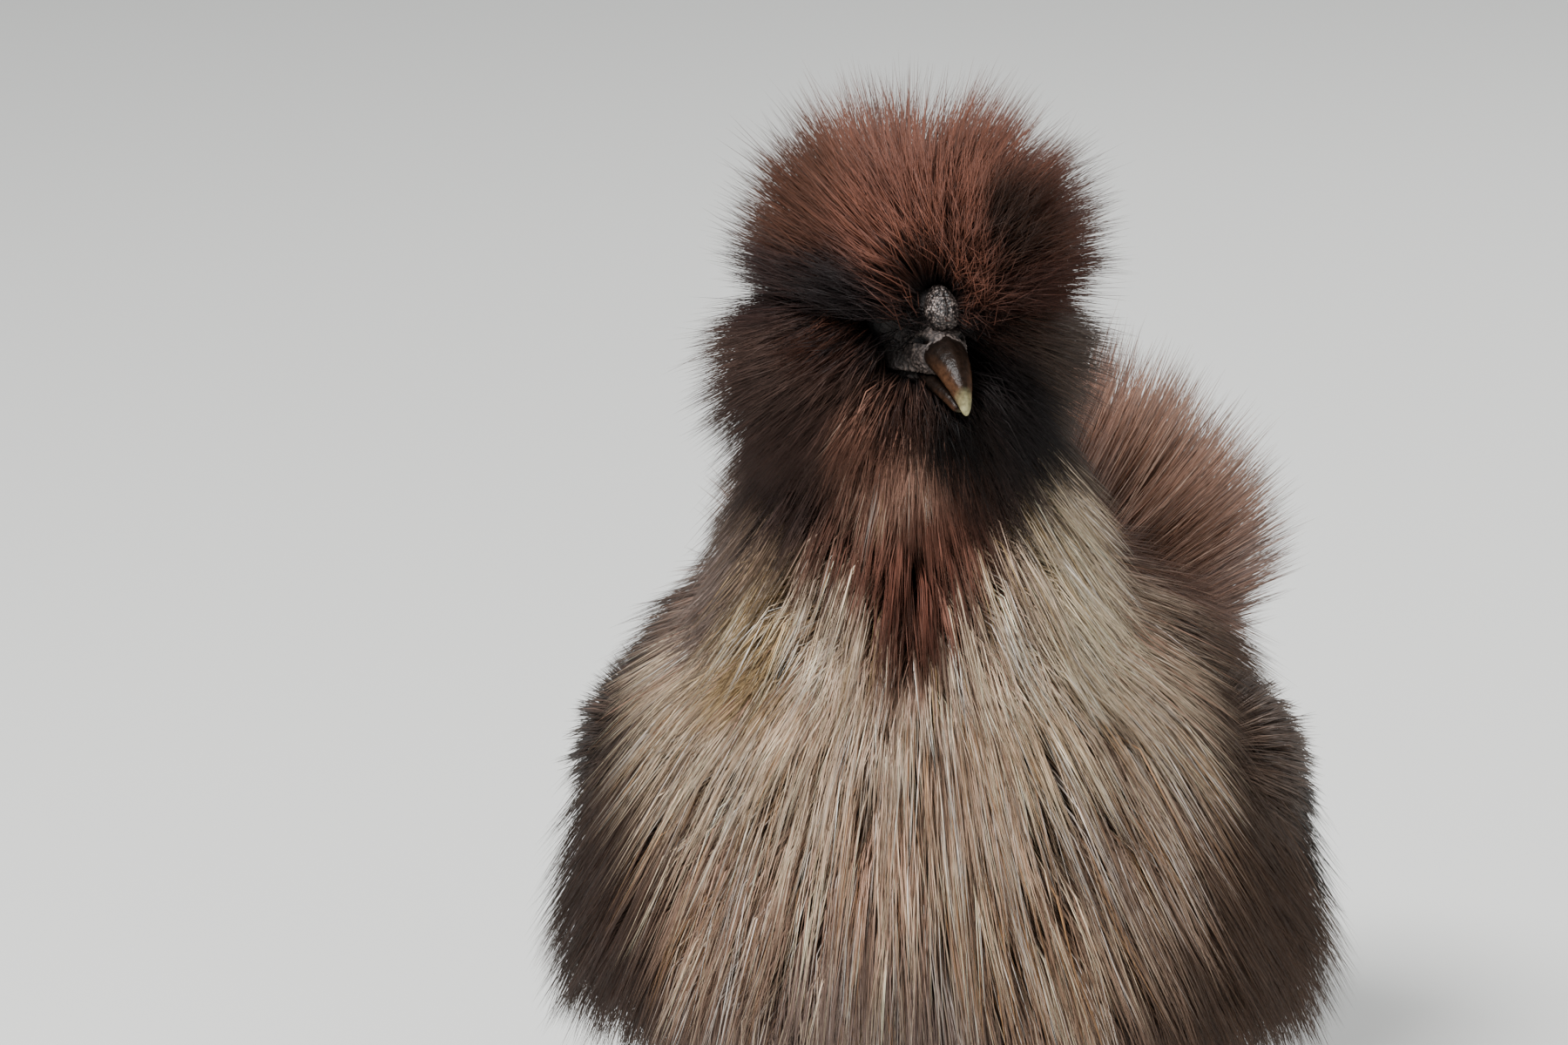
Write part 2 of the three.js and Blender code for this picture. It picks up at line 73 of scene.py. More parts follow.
def egg(centre, side, front, back, up, down, pitch=0.0, inside=None):
    place = (inside or Matrix()) @ (Matrix.Translation(centre) @ Matrix.Rotation(pitch, 4, "X"))

    def form(turn, level, grow=0.0):
        lift = np.asarray(level) * np.pi / 2
        ring = np.cos(lift)
        ahead = np.cos(turn)
        local = np.stack([
            (side + grow) * ring * np.sin(turn),
            -(np.where(ahead > 0, front, back) + grow) * ring * ahead,
            (np.where(lift > 0, up, down) + grow) * np.sin(lift),
        ], axis=-1)
        return placed(local, place)
    return form


def stack(rings, inside=None):
    # a ring has its height, how far back its middle is, its half width, and its reach forwards and backwards
    table = np.array(rings, dtype=float)
    last = len(table) - 1
    place = inside or Matrix()

    def form(turn, level, grow=0.0):
        along = np.clip((np.asarray(level, dtype=float) + 1) / 2, 0, 1) * last
        start = np.minimum(along.astype(int), last - 1)
        t = (along - start)[..., None]
        a, b, c, d = (table[np.clip(start + step, 0, last)] for step in (-1, 0, 1, 2))
        smooth = b + 0.5 * t * (c - a + t * (2 * a - 5 * b + 4 * c - d + t * (3 * (b - c) + d - a)))
        ring = np.clip(smooth, np.minimum(b, c), np.maximum(b, c))
        wide = grow * np.minimum(1, 2 * np.minimum(along, last - along))
        ahead = np.cos(turn)
        reach = np.where(ahead > 0, ring[..., 3], ring[..., 4]) + wide
        aside = (ring[..., 2] + wide) * np.sin(turn)
        local = np.stack([aside, ring[..., 1] - reach * ahead, ring[..., 0]], axis=-1)
        return placed(local, place)
    return form


def inHead(centre, *sizes, **more):
    return egg(centre, *sizes, inside=headPlace, **more)


def fromHead(points):
    # sideways, ahead of the eyes and up, in the head's frame
    local = placed(points, headPlace.inverted())
    return local[:, 0], -local[:, 1], local[:, 2]


def mirrored(values, side):
    return (side * values[0], values[1], values[2])


# Meshes
def formMesh(name, form, segments, rings):
    bpy.ops.mesh.primitive_uv_sphere_add(segments=segments, ring_count=rings, radius=1)
    piece = bpy.context.object
    piece.name = name
    points = getPoints(piece)
    turn = np.arctan2(points[:, 0], -points[:, 1])
    level = np.arcsin(np.clip(points[:, 2], -1, 1)) * 2 / np.pi
    setPoints(piece, form(turn, level))
    piece.select_set(False)
    return piece


def getPoints(piece):
    points = np.empty(len(piece.data.vertices) * 3)
    piece.data.vertices.foreach_get("co", points)
    return points.reshape(-1, 3)


def setPoints(piece, points):
    piece.data.vertices.foreach_set("co", np.ascontiguousarray(points, dtype=float).ravel())
    piece.data.update()


def joined(name, pieces):
    bpy.ops.object.select_all(action="DESELECT")
    for piece in pieces:
        piece.select_set(True)
    bpy.context.view_layer.objects.active = pieces[0]
    bpy.ops.object.join()
    piece = bpy.context.object
    piece.name = name
    piece.select_set(False)
    return piece


def applied(piece, kind, **settings):
    bpy.context.view_layer.objects.active = piece
    modifier = piece.modifiers.new(kind.title(), kind)
    for key, value in settings.items():
        setattr(modifier, key, value)
    bpy.ops.object.modifier_apply(modifier=modifier.name)


def finished(piece, material, nodes):
    # into the shared frame, with its place in its mesh
    setPoints(piece, (getPoints(piece) + np.array(offset)) * metre)
    piece.data.polygons.foreach_set("use_smooth", np.ones(len(piece.data.polygons), dtype=bool))
    piece.data.materials.clear()
    piece.data.materials.append(material)
    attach(piece, "root")
    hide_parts(*nodes)
    return piece


# Colours
def linear(hexColour):
    channels = [int(hexColour[i:i + 2], 16) / 255 for i in (1, 3, 5)]
    return [c / 12.92 if c <= 0.04045 else ((c + 0.055) / 1.055) ** 2.4 for c in channels]


def coloursOf(settings, *keys):
    return [np.array(linear(settings[key])) for key in keys]


def blended(colours, other, share):
    return colours + (other - colours) * share[:, None]


# Markings of the plumage, with painted light and shade among them: each has a place, how far it spreads and
# its colour. Skin and tufts both read them.
markingsLightAndShade = [
    # crest; the darkest marks, low round the brow, are painted shade under the crest
    ((3, -52, 294), 22, "#5c3a2e"), ((8, -84, 270), 16, "#5b382c"), ((-30, -60, 272), 17, "#462b1f"),
    ((40, -48, 256), 15, "#43281d"), ((-20, -92, 246), 12, "#171010"), ((-36, -74, 248), 11, "#2c1d1a"),
    ((32, -78, 270), 10, "#26160e"), ((34, -70, 244), 10, "#38211a"), ((3, -10, 262), 22, "#54352b"),
    ((10, -94, 256), 8, "#5c3527"), ((-46, -50, 252), 10, "#442c22"),
    # face and muffs; the near-black mark on the face, by the eyes, is painted shadow under the crest
    ((6, -76, 240), 12, "#0e0b0b"), ((-22, -82, 232), 7, "#462b21"), ((-38, -82, 222), 14, "#44342e"),
    ((-52, -84, 214), 10, "#574743"), ((46, -44, 224), 14, "#4c3f37"), ((52, -30, 212), 11, "#433937"),
    ((34, -66, 212), 11, "#1b1515"), ((-30, -90, 204), 11, "#402e28"),
    # beard; the near-black marks below the bill are its painted shadow, and the pale middle is partly lighter
    # down, partly painted light against the shade under the head
    ((4, -98, 212), 8, "#2c1a14"), ((20, -94, 206), 9, "#0e0a09"), ((-6, -98, 200), 10, "#6f4c3e"),
    ((4, -100, 190), 13, "#c49884"), ((26, -92, 190), 10, "#0c0908"), ((-30, -88, 190), 10, "#463530"),
    ((3, -20, 226), 16, "#4b3b33"),
    # bib, down to a point
    ((10, -96, 180), 15, "#7b5143"), ((9, -99, 167), 14, "#673f33"), ((8, -101, 155), 10, "#54352a"),
    ((-16, -95, 175), 8, "#5a3c31"), ((-38, -84, 186), 11, "#3d2f2b"), ((38, -86, 190), 9, "#2b2221"),
    # hackle: cream beside the bib, olive outwards
    ((-20, -97, 153), 10, "#ffe4ca"), ((38, -92, 156), 12, "#ffdfc4"), ((-44, -80, 170), 9, "#7d6857"),
    ((-42, -80, 148), 13, "#b39870"), ((62, -64, 156), 16, "#e6d2b6"), ((52, -76, 172), 9, "#d6c3ac"),
    ((-54, -50, 158), 14, "#7d6d65"), ((66, -36, 166), 13, "#a3907d"), ((0, -2, 196), 20, "#6b584f"),
    # breast and flanks
    ((12, -112, 130), 17, "#fbdcc3"), ((20, -110, 102), 20, "#efc9ad"), ((-26, -104, 120), 16, "#f0d2b6"),
    ((50, -96, 128), 15, "#e6c8a7"), ((-52, -84, 110), 18, "#dcc3a9"), ((-66, -64, 130), 15, "#cbb499"),
    ((72, -64, 132), 16, "#bfab95"), ((72, -72, 92), 17, "#9a806f"), ((-50, -82, 76), 17, "#b3927d"),
    ((0, -106, 68), 20, "#d2aa92"), ((36, -96, 60), 18, "#a98870"), ((0, -90, 42), 22, "#8f7a71"),
    ((-84, -40, 70), 18, "#46352d"), ((94, -24, 56), 18, "#4b392e"), ((-92, 10, 60), 20, "#46372e"),
    # back, saddle and tail
    ((0, 20, 176), 24, "#5f4c45"), ((8, 50, 206), 22, "#6c4c3d"), ((62, 58, 178), 18, "#745443"),
    ((-46, 62, 178), 20, "#6a4c3d"), ((80, 58, 146), 16, "#735c52"), ((8, 112, 178), 22, "#6a5248"),
    ((10, 124, 144), 20, "#5b463f"), ((4, 108, 96), 28, "#6b564d"), ((0, 20, 36), 34, "#6a5953"),
    # wings and thighs
    ((92, 0, 118), 14, "#56463c"), ((-92, 0, 118), 14, "#4a3c35"), ((96, 34, 84), 12, "#211914"),
    ((-96, 34, 84), 13, "#211914"), ((88, 10, 42), 20, "#4e3d32"), ((-88, 10, 42), 20, "#44352c"),
]


def markingsLightAndShadeAt(points):
    total = np.zeros((len(points), 3))
    weights = np.full((len(points), 1), 1e-9)
    for place, spread, colour in markingsLightAndShade:
        away = np.sum((points - np.array(place)) ** 2, axis=1, keepdims=True)
        weight = 1 / (0.12 + away / spread ** 2) ** 4
        total += weight * np.array(linear(colour))
        weights += weight
    return total / weights


def paint(piece, colours):
    attribute = piece.data.color_attributes.new(name="plumage", type="FLOAT_COLOR", domain="POINT")
    attribute.data.foreach_set("color", np.c_[colours, np.ones(len(colours))].ravel().astype(np.float32))


# Materials
def addNode(material, kind, settings=None, links=None, **values):
    node = material.node_tree.nodes.new(kind)
    for key, value in (settings or {}).items():
        setattr(node, key, value)
    for key, value in values.items():
        node.inputs[key].default_value = value
    for key, source in (links or {}).items():
        material.node_tree.links.new(source, node.inputs[key])
    return node


def newMaterial(name, **values):
    material = bpy.data.materials.new(name)
    material.use_nodes = True
    shader = material.node_tree.nodes["Principled BSDF"]
    for key, value in values.items():
        shader.inputs[key.replace("_", " ")].default_value = value
    return material, shader


def shades(material, factor, stops):
    # a colour ramp with its stops as (place, colour)
    ramp = addNode(material, "ShaderNodeValToRGB", links={"Fac": factor})
    ramp.color_ramp.elements[0].position = stops[0][0]
    ramp.color_ramp.elements[-1].position = stops[-1][0]
    for place, colour in stops[1:-1]:
        ramp.color_ramp.elements.new(place)
    for element, (place, colour) in zip(ramp.color_ramp.elements, stops):
        element.color = (*linear(colour), 1)
    return ramp.outputs["Color"]


def wire(material, source, node, socket):
    material.node_tree.links.new(source, node.inputs[socket])


def darkened(material, share, colour, tone):
    # the colour times the tone, as far as the share says
    node = addNode(material, "ShaderNodeMix", {"data_type": "RGBA", "blend_type": "MULTIPLY"})
    node.inputs[0].default_value = share
    wire(material, colour, node, 6)
    wire(material, tone, node, 7)
    return node.outputs[2]


def painted(material):
    return addNode(material, "ShaderNodeAttribute", {"attribute_name": "plumage"}).outputs["Color"]


def objectPlace(material):
    return addNode(material, "ShaderNodeTexCoord").outputs["Object"]


def grain(material, size):
    # noise whose lumps are about size millimetres across
    noise = addNode(material, "ShaderNodeTexNoise", links={"Vector": objectPlace(material)},
                    Scale=1 / (size * metre), Detail=3.0)
    return noise.outputs["Fac"]


def bumped(material, shader, height, depth, strength=1.0):
    bump = addNode(material, "ShaderNodeBump", links={"Height": height},
                   Strength=strength, Distance=depth * metre)
    wire(material, bump.outputs["Normal"], shader, "Normal")


def silkyDown():
    # keratin barbs with no hooks: soft, nearly matt and never wet
    material, shader = newMaterial("silky down", Roughness=0.5, IOR=1.55, Specular_IOR_Level=0.1,
                                   Sheen_Weight=0.02, Sheen_Roughness=0.4)
    fine = shades(material, grain(material, 3.5), [(0.3, "#c9c4c0"), (0.7, "#ffffff")])
    wire(material, darkened(material, 0.7, painted(material), fine), shader, "Base Color")
    return material


def mulberrySkin():
    # a silkie's skin is blue-black, dry and finely creased
    material, shader = newMaterial("mulberry skin", Roughness=0.62, IOR=1.42)
    blotch = shades(material, grain(material, 0.8), [(0.38, "#6f6a68"), (0.62, "#ffffff")])
    wire(material, darkened(material, 0.8, painted(material), blotch), shader, "Base Color")
    bumped(material, shader, grain(material, 0.6), 0.35)
    return material


def combSkin():
    # walnut comb: dark mulberry warty skin, with a painted highlight on the top of each wart and painted
    # shade in the hollows between them
    material, shader = newMaterial("walnut comb skin", Roughness=0.45, IOR=1.42)
    warts = addNode(material, "ShaderNodeTexVoronoi", links={"Vector": objectPlace(material)},
                    Scale=1 / (0.72 * metre)).outputs["Distance"]
    wartLightAndShade = shades(material, warts, [(0.08, "#a79a93"), (0.38, "#4c423e"), (0.7, "#0f0b0a")])
    bloom = shades(material, grain(material, 2.2), [(0.36, "#8d8784"), (0.64, "#ffffff")])
    wire(material, darkened(material, 0.85, wartLightAndShade, bloom), shader, "Base Color")
    bumped(material, shader, warts, -0.3)
    return material


def billHorn():
    # keratin horn, grown in layers: dark at the root, worn pale and a little clear at the tip
    material, shader = newMaterial("bill horn", Roughness=0.3, IOR=1.5, Specular_IOR_Level=0.07,
                                   Subsurface_Weight=0.05, Subsurface_Radius=(0.002, 0.001, 0.0005))
    streak = shades(material, grain(material, 1.2), [(0.3, "#8c8c8c"), (0.65, "#ffffff")])
    wire(material, darkened(material, 0.75, painted(material), streak), shader, "Base Color")
    bumped(material, shader, grain(material, 0.8), 0.12)
    return material


def wetEye():
    # cornea over a black-brown iris: smooth and wet
    material, shader = newMaterial("wet eye", Roughness=0.06, IOR=1.38, Coat_Weight=1.0, Coat_Roughness=0.03)
    wire(material, painted(material), shader, "Base Color")
    return material


def scaledSkin():
    # slate-black leg skin with dry horny scutes
    material, shader = newMaterial("scaled leg skin", Roughness=0.5, IOR=1.5)
    slate = shades(material, grain(material, 2.2), [(0.3, "#232021"), (0.6, "#3d3837"), (0.8, "#544c48")])
    wire(material, slate, shader, "Base Color")
    cell = addNode(material, "ShaderNodeTexVoronoi", {"feature": "DISTANCE_TO_EDGE"},
                   {"Vector": objectPlace(material)}, Scale=1 / (1.6 * metre))
    bumped(material, shader, cell.outputs["Distance"], 0.25, 0.7)
    return material


def clawHorn():
    # claw horn: grey-brown, paler where it wears
    material, shader = newMaterial("claw horn", Roughness=0.4, IOR=1.54)
    worn = shades(material, grain(material, 2.5), [(0.3, "#5b524a"), (0.7, "#8b8072")])
    wire(material, worn, shader, "Base Color")
    bumped(material, shader, grain(material, 0.6), 0.08)
    return material


# Tufts
# Nothing hangs over the comb, the nostrils, the bill, the mouth's corners or the eyes: each gap is a round
# way out of the coat, in the head's frame, from its start to its end, with its radius
gaps = [
    ((1, -13, 8), (-8, -46, 24), 4.6), ((0, -20, 0), (-12, -50, 9), 6.4), ((0, -24, -5), (-8, -58, 0), 7.2),
    ((-11, -12, -8), (-20, -44, 0), 3.4), ((11, -12, -8), (10, -44, 0), 3.2),
    ((9, -7, 1.5), (24, -30, 2), 3.4), ((-9, -7, 1.5), (-28, -32, 6), 3.4),
    ((10, -6, 1.5), (28, -18, 1.5), 3.4), ((-10, -6, 1.5), (-28, -18, 1.5), 3.4),
]

# What every coat has unless it sets its own. Stations are places along a strand with their share of its
# width, and patch is a strand's side on the bake's map.
tuftSettings = {
    "span": (-180, 180), "even": False, "sweep": 0, "tousle": 0.0, "lie": 0.0, "parted": False,
    "rootLevels": (-0.96, 0.98), "tipLevels": (-0.985, 0.995), "dropDraw": 0.25, "bowDraw": (0.6, 1.3),
    "middleAt": 0.45, "tipLoose": 0.8, "shortShare": 0.3, "shortReach": (0.6, 0.95),
    "fullReach": (0.95, 1.05), "lobes": 0.02, "clumpShort": 0.05, "stations": [(0.0, 0.8), (0.55, 1.0)],
    "widthDraw": (0.7, 1.3), "thinness": 0.6, "strandMottle": 0.1, "strayShare": 0.3,
    "tintBlend": (0.45, 0.95), "tintFrom": 0.03, "tintFade": 0.1, "toneRange": (0.3, 1.8),
    "markedAt": 0.85, "rootShade": 0.45, "tipShade": 1.1, "shadeCurve": 0.8, "patch": 0.003,
}


def hangsOver(points):
    local = placed(points, headPlace.inverted())
    over = np.zeros(len(points), dtype=bool)
    for start, end, radius in gaps:
        start, way = np.array(start), np.array(end) - np.array(start)
        along = np.clip((local - start) @ way / (way @ way), 0, 1)
        over |= np.linalg.norm(local - start - along[:, None] * way, axis=1) < radius
    return over


def bent(root, middle, tip, t):
    # the place t of the way along each strand
    return root * (1 - t) ** 2 + middle * 2 * t * (1 - t) + tip * t ** 2


def strandMesh(name, points):
    # each strand: a closed root, bands of walls and a tip
    count, size = points.shape[:2]
    top = size - 1
    faces = [(0, 2, 1)]
    for ring in range(0, top - 3, 3):
        for side in range(3):
            a, b = ring + side, ring + (side + 1) % 3
            faces += [(a, b, b + 3), (a, b + 3, a + 3)]
    faces += [(top - 3 + side, top - 3 + (side + 1) % 3, top) for side in range(3)]
    corners = (np.array(faces)[None] + size * np.arange(count)[:, None, None]).reshape(-1)

    mesh = bpy.data.meshes.new(name)
    mesh.vertices.add(count * size)
    mesh.vertices.foreach_set("co", points.reshape(-1))
    mesh.loops.add(len(corners))
    mesh.loops.foreach_set("vertex_index", corners.astype(np.int32))
    mesh.polygons.add(len(corners) // 3)
    mesh.polygons.foreach_set("loop_start", np.arange(0, len(corners), 3, dtype=np.int32))
    mesh.update(calc_edges=True)
    mesh.validate()
    piece = bpy.data.objects.new(name, mesh)
    bpy.context.collection.objects.link(piece)
    return piece, corners


def makeTufts(coat):
    # strands of three flat sides in clumps; each follows its own bent line from its bed to the outline
    coat = {**tuftSettings, **coat}
    draw = np.random.default_rng(coat["seed"])
    clumps, each = coat["clumps"], coat["each"]
    count = clumps * each
    low, high = coat["levels"]
    first, last = np.radians(coat["span"])
    clumpTurn = draw.uniform(first, last, clumps)
    clumpLevel = draw.uniform(low, high, clumps)
    if coat["even"]:
        # as many clumps on each bit of the surface
        heights = draw.uniform(math.sin(low * np.pi / 2), math.sin(high * np.pi / 2), clumps)
        clumpLevel = np.arcsin(heights) * 2 / np.pi
    own = np.repeat(np.arange(clumps), each)
    turn = clumpTurn[own] + np.radians(coat["apart"]) * draw.normal(0, 0.5, count)
    level = clumpLevel[own] + coat["apart"] / 90 * draw.normal(0, 0.5, count)
    level = np.clip(level, *coat["rootLevels"])
    drop = coat["drop"] * (1 + coat["dropDraw"] * draw.uniform(-1, 1, clumps))[own]
    swing = np.radians(coat["sweep"]) * np.sin(clumpTurn)[own]

    root = coat["bed"](turn, level, -1.0)
    outward = coat["bed"](turn, level, 1.0) - root
    outward /= np.linalg.norm(outward, axis=1, keepdims=True)
    tip = coat["outline"](turn + swing, np.clip(level - drop, *coat["tipLevels"]))
    clumpTip = coat["outline"](clumpTurn[own] + swing, np.clip(clumpLevel[own] - drop, *coat["tipLevels"]))
    tip += (clumpTip - tip) * coat["pull"] + draw.normal(0, coat["tousle"], (clumps, 3))[own]
    short = draw.random(count) < coat["shortShare"]
    reach = np.where(short, draw.uniform(*coat["shortReach"], count), draw.uniform(*coat["fullReach"], count))
    lobe = np.sin(5 * clumpTurn + 9 * clumpLevel + coat["seed"]) * np.cos(7 * clumpLevel - 3 * clumpTurn)
    reach *= (1 - coat["lobes"] * (1 + lobe) - coat["clumpShort"] * draw.random(clumps))[own]
    tip = root + (tip - root) * reach[:, None]
    bow = coat["bow"] * draw.uniform(*coat["bowDraw"], count)
    middle = root + (tip - root) * coat["middleAt"] + outward * bow[:, None]
    # where the coat lies, a strand goes straight out first, then down along the outline
    out = coat["outline"](turn + swing * 0.5, level)
    middle += (root + (out - root) * reach[:, None] - middle) * coat["lie"]
    middle += draw.normal(0, coat["loose"], (count, 3))
    tip += draw.normal(0, coat["loose"] * coat["tipLoose"], (count, 3))
    wave = coat["wave"] * draw.normal(0, 1, (count, 2))
    angle = draw.uniform(0, np.pi, count)
    width = coat["width"] * draw.uniform(*coat["widthDraw"], count)
    tone = 1 + coat["mottle"] * draw.normal(0, 1, clumps)[own]
    tone += coat["strandMottle"] * draw.normal(0, 1, count)

    # each clump takes the coat's own colour or one of its tints, and some strands differ from their clump
    shares = [share for _, share in coat["tints"]]
    shares = [1 - sum(shares)] + shares
    tint = draw.choice(len(shares), size=clumps, p=shares)[own]
    stray = draw.random(count) < coat["strayShare"]
    tint = np.where(stray, draw.choice(len(shares), size=count, p=shares), tint)
    blend = np.where(tint > 0, draw.uniform(*coat["tintBlend"], count), 0)
    tintColours = np.array([(0, 0, 0)] + [linear(colour) for colour, _ in coat["tints"]])[tint]

    if coat["parted"]:
        keep = ~np.any([hangsOver(bent(root, middle, tip, t)) for t in (0, 0.5, 0.8, 1)], axis=0)
        turn, level, root, outward, tip, middle, wave, angle, width, tone, blend, tintColours = (
            values[keep] for values in
            (turn, level, root, outward, tip, middle, wave, angle, width, tone, blend, tintColours))

    way = tip - root
    across = np.cross(way, outward)
    across /= np.linalg.norm(across, axis=1, keepdims=True) + 1e-9
    above = np.cross(across, way) / np.linalg.norm(way, axis=1, keepdims=True)
    flat = across * np.cos(angle)[:, None] + above * np.sin(angle)[:, None]
    thin = above * np.cos(angle)[:, None] - across * np.sin(angle)[:, None]
    rings = []
    for t, share in coat["stations"]:
        wavy = np.sin(np.pi * 2 * t) * wave[:, :1] * across + np.sin(np.pi * 3 * t) * wave[:, 1:] * above
        centre = bent(root, middle, tip, t) + wavy
        for side in range(3):
            corner = side * 2 * np.pi / 3
            spread = flat * math.cos(corner) + thin * coat["thinness"] * math.sin(corner)
            rings.append(centre + spread * (width * share / 2)[:, None])
    points = np.stack(rings + [tip], axis=1)
    points[..., 2] = np.maximum(points[..., 2], 0)  # none goes below the floor
    piece, corners = strandMesh(coat["name"], points)

    # the bake's map: a small patch for each strand at its root's place on the skin's own unwrap
    size = points.shape[1]
    rows = (size + 2) // 3
    patch = [(column / 2, row / rows) for row in range(rows) for column in range(3)][:size - 1] + [(0.5, 1)]
    place = np.stack([(turn / (2 * np.pi)) % 1, (level + 1) / 2], axis=1)
    place = place * (1 - 2 * coat["patch"]) + coat["patch"] / 2
    spots = (place[:, None] + np.array(patch)[None] * coat["patch"]).reshape(-1, 2)
    layer = piece.data.uv_layers.new(name="OFBake")
    layer.data.foreach_set("uv", spots[corners].reshape(-1).astype(np.float32))

    # the colours read there, with their painted light and shade, darker towards the roots, with the tints
    # over all but the darkest of them
    colour = markingsLightAndShadeAt(root * (1 - coat["markedAt"]) + tip * coat["markedAt"])
    bright = np.clip((colour.mean(axis=1) - coat["tintFrom"]) / coat["tintFade"], 0, 1)
    colour = blended(colour, tintColours, blend * bright)
    colour *= tone.clip(*coat["toneRange"])[:, None]
    along = np.repeat([t for t, _ in coat["stations"]] + [1.0], [3] * len(coat["stations"]) + [1])
    shade = coat["rootShade"] + (coat["tipShade"] - coat["rootShade"]) * along ** coat["shadeCurve"]
    paint(piece, (colour[:, None] * shade[None, :, None]).reshape(-1, 3).clip(0, 1))
    print("tufts", coat["name"], len(points), "strands", len(corners) // 3, "triangles")
    return piece


# Skin
billPlace = headPlace @ Matrix.Rotation(math.pi / 2, 4, "X")
torsoSkin = stack([
    (58, 4, 0, 0, 0), (60, 4, 26, 26, 26), (70, 4, 44, 46, 48), (90, 4, 52, 60, 62), (114, 4, 50, 64, 64),
    (136, 4, 42, 60, 58), (152, 2, 28, 48, 46), (160, 0, 14, 26, 30), (162, 0, 0, 0, 0)])
neckSkin = stack([
    (130, -34, 0, 0, 0), (133, -34, 18, 16, 18), (150, -40, 18, 17, 19), (175, -46, 14, 14, 15),
    (200, -50, 12, 12, 13), (222, -55, 11, 11, 12), (234, -58, 9, 9, 10), (238, -58, 0, 0, 0)])
skullSkin = inHead((0, 0, 0), 13.6, 16.6, 18.6, 12.6, 12.6)
snoutSkin = inHead((0, -15, -2.5), 7.7, 10.7, 12, 6.7, 7.7)
jawSkin = inHead((0, -5, -8.5), 11.6, 14.6, 15.6, 5.8, 6.2)
throatSkin = inHead((0, -3, -15), 10, 11, 12, 6, 12)
tailSkin = egg((tailLean, 84, 146), 18, 16, 16, 16, 26, pitch=rumpPitch)
saddleSkin = egg((saddleLean, 52, 148), 36, 18, 18, 32, 36, pitch=rumpPitch)


def thighSkin(side):
    return egg((side * 37, 8, 66), 20, 22, 24, 24, 26)


def wingSkin(side):
    return egg((side * 62, 4, 112), 8, 20, 18, 36, 30, pitch=wingPitch)


# The face's near-black colour is painted shade in the creases' troughs, the nostrils and the line of the
# mouth.
skinSettings = {
    "voxel": 1.3, "smooth": 6, "bareCentre": (0, -22, -1), "bareSpread": 12.5, "bareEdge": 1.6,
    # the pale ridge colour is a painted highlight on the crease ridges, nostril rims and lips, over the
    # skin's own paler dry crust
    "underDown": 0.45, "bare": "#3a312e", "creaseShade": "#080606", "ridge": "#7b6d65",
}
faceSettings = {
    "centre": (0, -18, -2), "reach": 17, "edge": 4, "cuts": 3, "rippleAhead": 25, "rippleUp": -2,
    "creaseWidth": 1.7, "creaseShare": 0.7, "crustShare": 0.55, "creaseLift": 0.24,
    "nostril": (5.9, -19.0, 1.0), "noseSlope": 0.2, "noseWide": 2.6, "noseLong": 2.0, "noseHigh": 0.8,
    "noseDepth": 1.6, "rimLong": 2.6, "rimAbove": 1.5, "rimHigh": 0.7, "rimLift": 0.6,
    "mouthHeight": -7.4, "mouthFall": 0.28, "mouthFront": 24, "mouthBack": 8, "mouthHigh": 0.6,
    "mouthDepth": 1.5, "lipAbove": 1.4, "lipHigh": 0.7, "lipLift": 0.3, "ridgesFrom": 13,
}


def makeSkin():
    parts = [formMesh(*part) for part in (
        ("torso", torsoSkin, 48, 32), ("neck", neckSkin, 32, 28), ("skull", skullSkin, 40, 28),
        ("snout", snoutSkin, 32, 20), ("jaw", jawSkin, 32, 20), ("throat", throatSkin, 24, 16),
        ("tailRoot", tailSkin, 24, 16), ("rump", saddleSkin, 32, 20))]
    for side in (1, -1):
        lobe = inHead((side * 13, 9, -6), 2.4, 4, 4, 5, 6)
        socket = inHead((side * 10.6, -5.5, 1.5), 4.6, 6.6, 6.2, 6.0, 5.6)
        parts += [formMesh("thigh", thighSkin(side), 28, 18), formMesh("arm", wingSkin(side), 28, 18),
                  formMesh("lobe", lobe, 16, 12), formMesh("socket", socket, 24, 16)]
    skin = joined("skin", parts)
    applied(skin, "REMESH", mode="VOXEL", voxel_size=skinSettings["voxel"])
    applied(skin, "SMOOTH", factor=0.5, iterations=skinSettings["smooth"])
    creaseShadeShare, ridges = foldFace(skin)
    points = getPoints(skin)
    bareAt = np.array(headPlace @ Vector(skinSettings["bareCentre"]))
    away = np.linalg.norm(points - bareAt, axis=1) / skinSettings["bareSpread"]
    bare = np.clip(skinSettings["bareEdge"] - away, 0, 1)[:, None]
    bareColour, creaseShade, ridge = coloursOf(skinSettings, "bare", "creaseShade", "ridge")
    colours = markingsLightAndShadeAt(points) * skinSettings["underDown"] * (1 - bare) + bareColour * bare
    # a painted highlight on the face's ridges, then painted shade in its pits and creases
    paint(skin, blended(blended(colours, ridge, ridges), creaseShade, creaseShadeShare))
    return skin


def hill(value, width, power=2):
    return np.exp(-(value / width) ** power)


